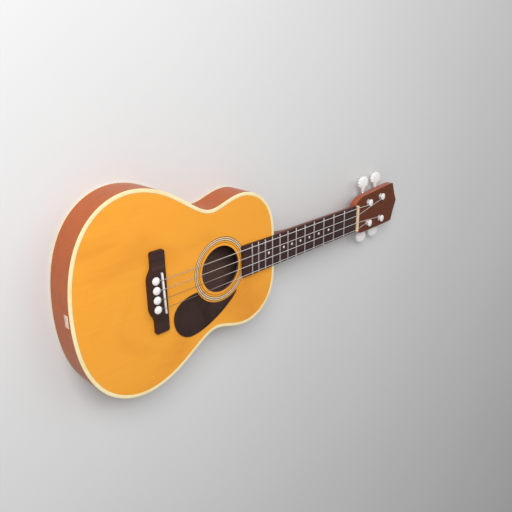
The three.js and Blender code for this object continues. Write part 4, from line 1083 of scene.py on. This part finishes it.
def make_machines():
    post, ferrule, button, screw = post_pattern(), ferrule_pattern(), button_pattern(), screw_pattern()
    for name, s, y, side in TUNERS:
        place = HEAD_FRAME @ Matrix.Translation((s, y, 0))
        deliver(carry(copy_of(post, f"{name}_round_post"), place), WHITE,
                f"{name}_roller", (f"{name}_post",))
        deliver(carry(copy_of(ferrule, f"{name}_bushing"), place), SATIN_NICKEL,
                stands_for=(f"{name}_ferrule",))
        across = Matrix.Translation((WORM_OFFSET, BUTTON_CENTRE * side - y, SHAFT_HEIGHT))
        turn = Matrix.Rotation(BUTTON_TURN, 4, "Y") @ Matrix.Rotation(0 if side > 0 else math.pi, 4, "Z")
        deliver(carry(copy_of(button, f"{name}_scalloped_button"), place @ across @ turn), PEARL,
                f"{name}_key", (f"{name}_button",))
        deliver(eased_copy(f"{name}_plate", f"{name}_eared_plate", 0.15, 35, 2), NICKEL,
                stands_for=(f"{name}_plate",))
        deliver(eased_copy(f"{name}_gear", f"{name}_toothed_gear", 0.1, 35, 1), BRASS,
                f"{name}_roller", (f"{name}_gear",))
        deliver(eased_copy(f"{name}_worm_shaft", f"{name}_worm", 0.08, 35, 1), NICKEL,
                f"{name}_key", (f"{name}_worm_shaft",))
        for end, along in SCREW_PLACES:
            under = Matrix.Translation((along, 0, -HEAD_THICKNESS - GAP - PLATE_THICKNESS))
            deliver(carry(copy_of(screw, f"{name}_screw_{end}"), place @ under), NICKEL)
    for pattern in (post, ferrule, button, screw):
        bpy.data.objects.remove(pattern, do_unlink=True)


make_machines()


# Strings along the same routes as in the frame

def string_route(i):
    radius = STRING_DIAMETERS[i] / 2
    at_pin, at_nut = (1.5 - i) * PIN_SPACING, (1.5 - i) * NUT_SPACING
    _, s, y, side = TUNERS[i]
    winding_radius = POST_RADIUS + GAP + radius
    pitch = STRING_DIAMETERS[i] + WINDING_GAP

    def on_post(angle):
        forward = winding_radius * math.sin(angle)
        out = -winding_radius * math.cos(angle) * side
        return HEAD_FRAME @ Vector((s + forward, y + out, WINDING_TOP - pitch * angle / (2 * math.pi)))

    winding = [on_post(2 * math.pi * step / WINDING_STEPS)
               for step in range(int(WINDING_TURNS * WINDING_STEPS) + 1)]
    outwards = (HEAD_FRAME.to_3x3() @ Vector((0, side, 0)))
    winding.append(winding[-1] + outwards * 2 * STRING_DIAMETERS[i])
    riser = PIN_X + PIN_SHANK
    seat = BRIDGE_TOP + GAP
    over_saddle = Vector((SADDLE_X - at_pin * math.tan(SADDLE_SLANT), at_pin,
                          BODY_DEPTH + STRINGS_OVER_SADDLE + radius))
    over_nut = NECK_FRAME @ Vector((NECK_LENGTH, at_nut, BOARD_THICKNESS + NUT_STRING_HEIGHT + radius))
    top = Vector((riser, at_pin, seat + PIN_EXIT))

    def towards(start, end, distance):
        return start + (end - start).normalized() * distance

    ball = BODY_DEPTH - TOP_THICKNESS - GAP - BRIDGE_PLATE_THICKNESS - GAP - BALL_RADIUS
    return [
        Vector((riser, at_pin, ball)),
        Vector((riser, at_pin, seat + PIN_EXIT - PIN_EXIT_EASE)),
        towards(top, over_saddle, PIN_EXIT_EASE),
        towards(over_saddle, top, BEND_EASE),
        over_saddle,
        towards(over_saddle, over_nut, BEND_EASE),
        towards(over_nut, over_saddle, BEND_EASE),
        over_nut,
        towards(over_nut, winding[0], BEND_EASE),
        *winding,
    ], ball


def make_strings():
    for i, diameter in enumerate(STRING_DIAMETERS):
        route, ball = string_route(i)
        curve = bpy.data.curves.new(f"string_wire_{i + 1}", "CURVE")
        curve.dimensions = "3D"
        curve.bevel_depth = diameter / 2 * MM
        curve.bevel_resolution = 3
        curve.use_fill_caps = True
        spline = curve.splines.new("POLY")
        spline.points.add(len(route) - 1)
        for point, place in zip(spline.points, route):
            point.co = (*(place * MM), 1.0)
        wire = bpy.data.objects.new(f"string_wire_{i + 1}", curve)
        bpy.context.collection.objects.link(wire)
        choose(wire)
        bpy.ops.object.convert(target="MESH")
        wire = bpy.context.object
        smooth(wire, 50)
        deliver(wire, WOUND if i < 2 else PLAIN, stands_for=(f"string_{i + 1}",))
        profile = [(BALL_RADIUS - 0.3, -BALL_HALF), (BALL_RADIUS, 0.35 - BALL_HALF),
                   (BALL_RADIUS, BALL_HALF - 0.35), (BALL_RADIUS - 0.3, BALL_HALF)]
        end = turned_up(f"string_ball_{i + 1}", profile, 24)
        end.rotation_euler = (0, math.pi / 2, 0)
        end.location = ((PIN_X + BALL_AHEAD_OF_PIN + BALL_HALF) * MM, (1.5 - i) * PIN_SPACING * MM, ball * MM)
        set_down(end)
        smooth(end, 35)
        deliver(end, BRASS)


make_strings()


# CAD nodes that stay, with their finishes

def refinish(names, material):
    for name in names:
        mesh = nodes[name].data
        mesh.materials.clear()
        mesh.materials.append(material)


refinish(("top_lining", "cross_brace", "upper_brace", "tone_bar", "bridge_plate"), INSIDE_WOOD)
# Blocks, back lining and back braces take the inside wood darkened with painted shade.
refinish(("neck_block", "tail_block", "back_lining", "back_brace_1", "back_brace_2", "back_brace_3"),
         INSIDE_PAINTED_SHADE)
refinish(("neck_bar", "neck_bolt"), STEEL)
deliver(eased_copy("tail_plate", "tail_plate_eased", 0.25, 30, 2), TAIL_BONE,
        stands_for=("tail_plate",))


# Floor, lights and camera

def make_floor():
    bpy.ops.object.select_all(action="DESELECT")
    bpy.ops.mesh.primitive_plane_add(size=8, location=(0, 0, -0.0004))
    floor = name_new("studio_floor")
    material, tree, shader = new_finish("pale_floor", 0.85, specular=0.05)
    cloud = noise(tree, seen_at(tree, (3, 3, 3)), 1.0, 2.0, 0.5)
    greys = ((0.3, (0.75, 0.75, 0.75)), (0.7, (0.77, 0.77, 0.77)))
    tree.links.new(ramp(tree, cloud, greys), shader.inputs["Base Color"])
    floor.data.materials.append(material)


def soft_light(name, place, aim, size, power):
    """A square lamp; place, aim and size in metres, power in watts."""
    data = bpy.data.lights.new(name, "AREA")
    data.size = size
    data.energy = power
    light = bpy.data.objects.new(name, data)
    light.location = place
    light.rotation_euler = (Vector(aim) - Vector(place)).to_track_quat("-Z", "Y").to_euler()
    bpy.context.collection.objects.link(light)


def make_studio():
    make_floor()
    soft_light("key_light", (-0.56, 0.85, 0.95), (0.0, 0, 0), 0.9, 17.0)
    soft_light("fill_light", (1.5, 1.0, 1.7), (0.35, 0, 0), 1.6, 9.0)
    world = bpy.context.scene.world or bpy.data.worlds.new("studio")
    bpy.context.scene.world = world
    world.use_nodes = True
    world.node_tree.nodes["Background"].inputs["Color"].default_value = (1, 1, 1, 1)
    world.node_tree.nodes["Background"].inputs["Strength"].default_value = 0.3
    bpy.context.scene.view_settings.view_transform = "Standard"


def make_camera():
    data = bpy.data.cameras.new("photo_camera")
    data.sensor_width = 36.0
    data.lens = CAMERA_LENS
    data.clip_start = 0.01
    camera = bpy.data.objects.new("photo_camera", data)
    bpy.context.collection.objects.link(camera)
    right, down, ahead = Vector(CAMERA_RIGHT), Vector(CAMERA_DOWN), Vector(CAMERA_AHEAD)
    place = Matrix((right, -down, -ahead)).transposed().to_4x4()
    place.translation = CAMERA_PLACE
    camera.matrix_world = place
    bpy.context.scene.camera = camera


make_studio()
make_camera()
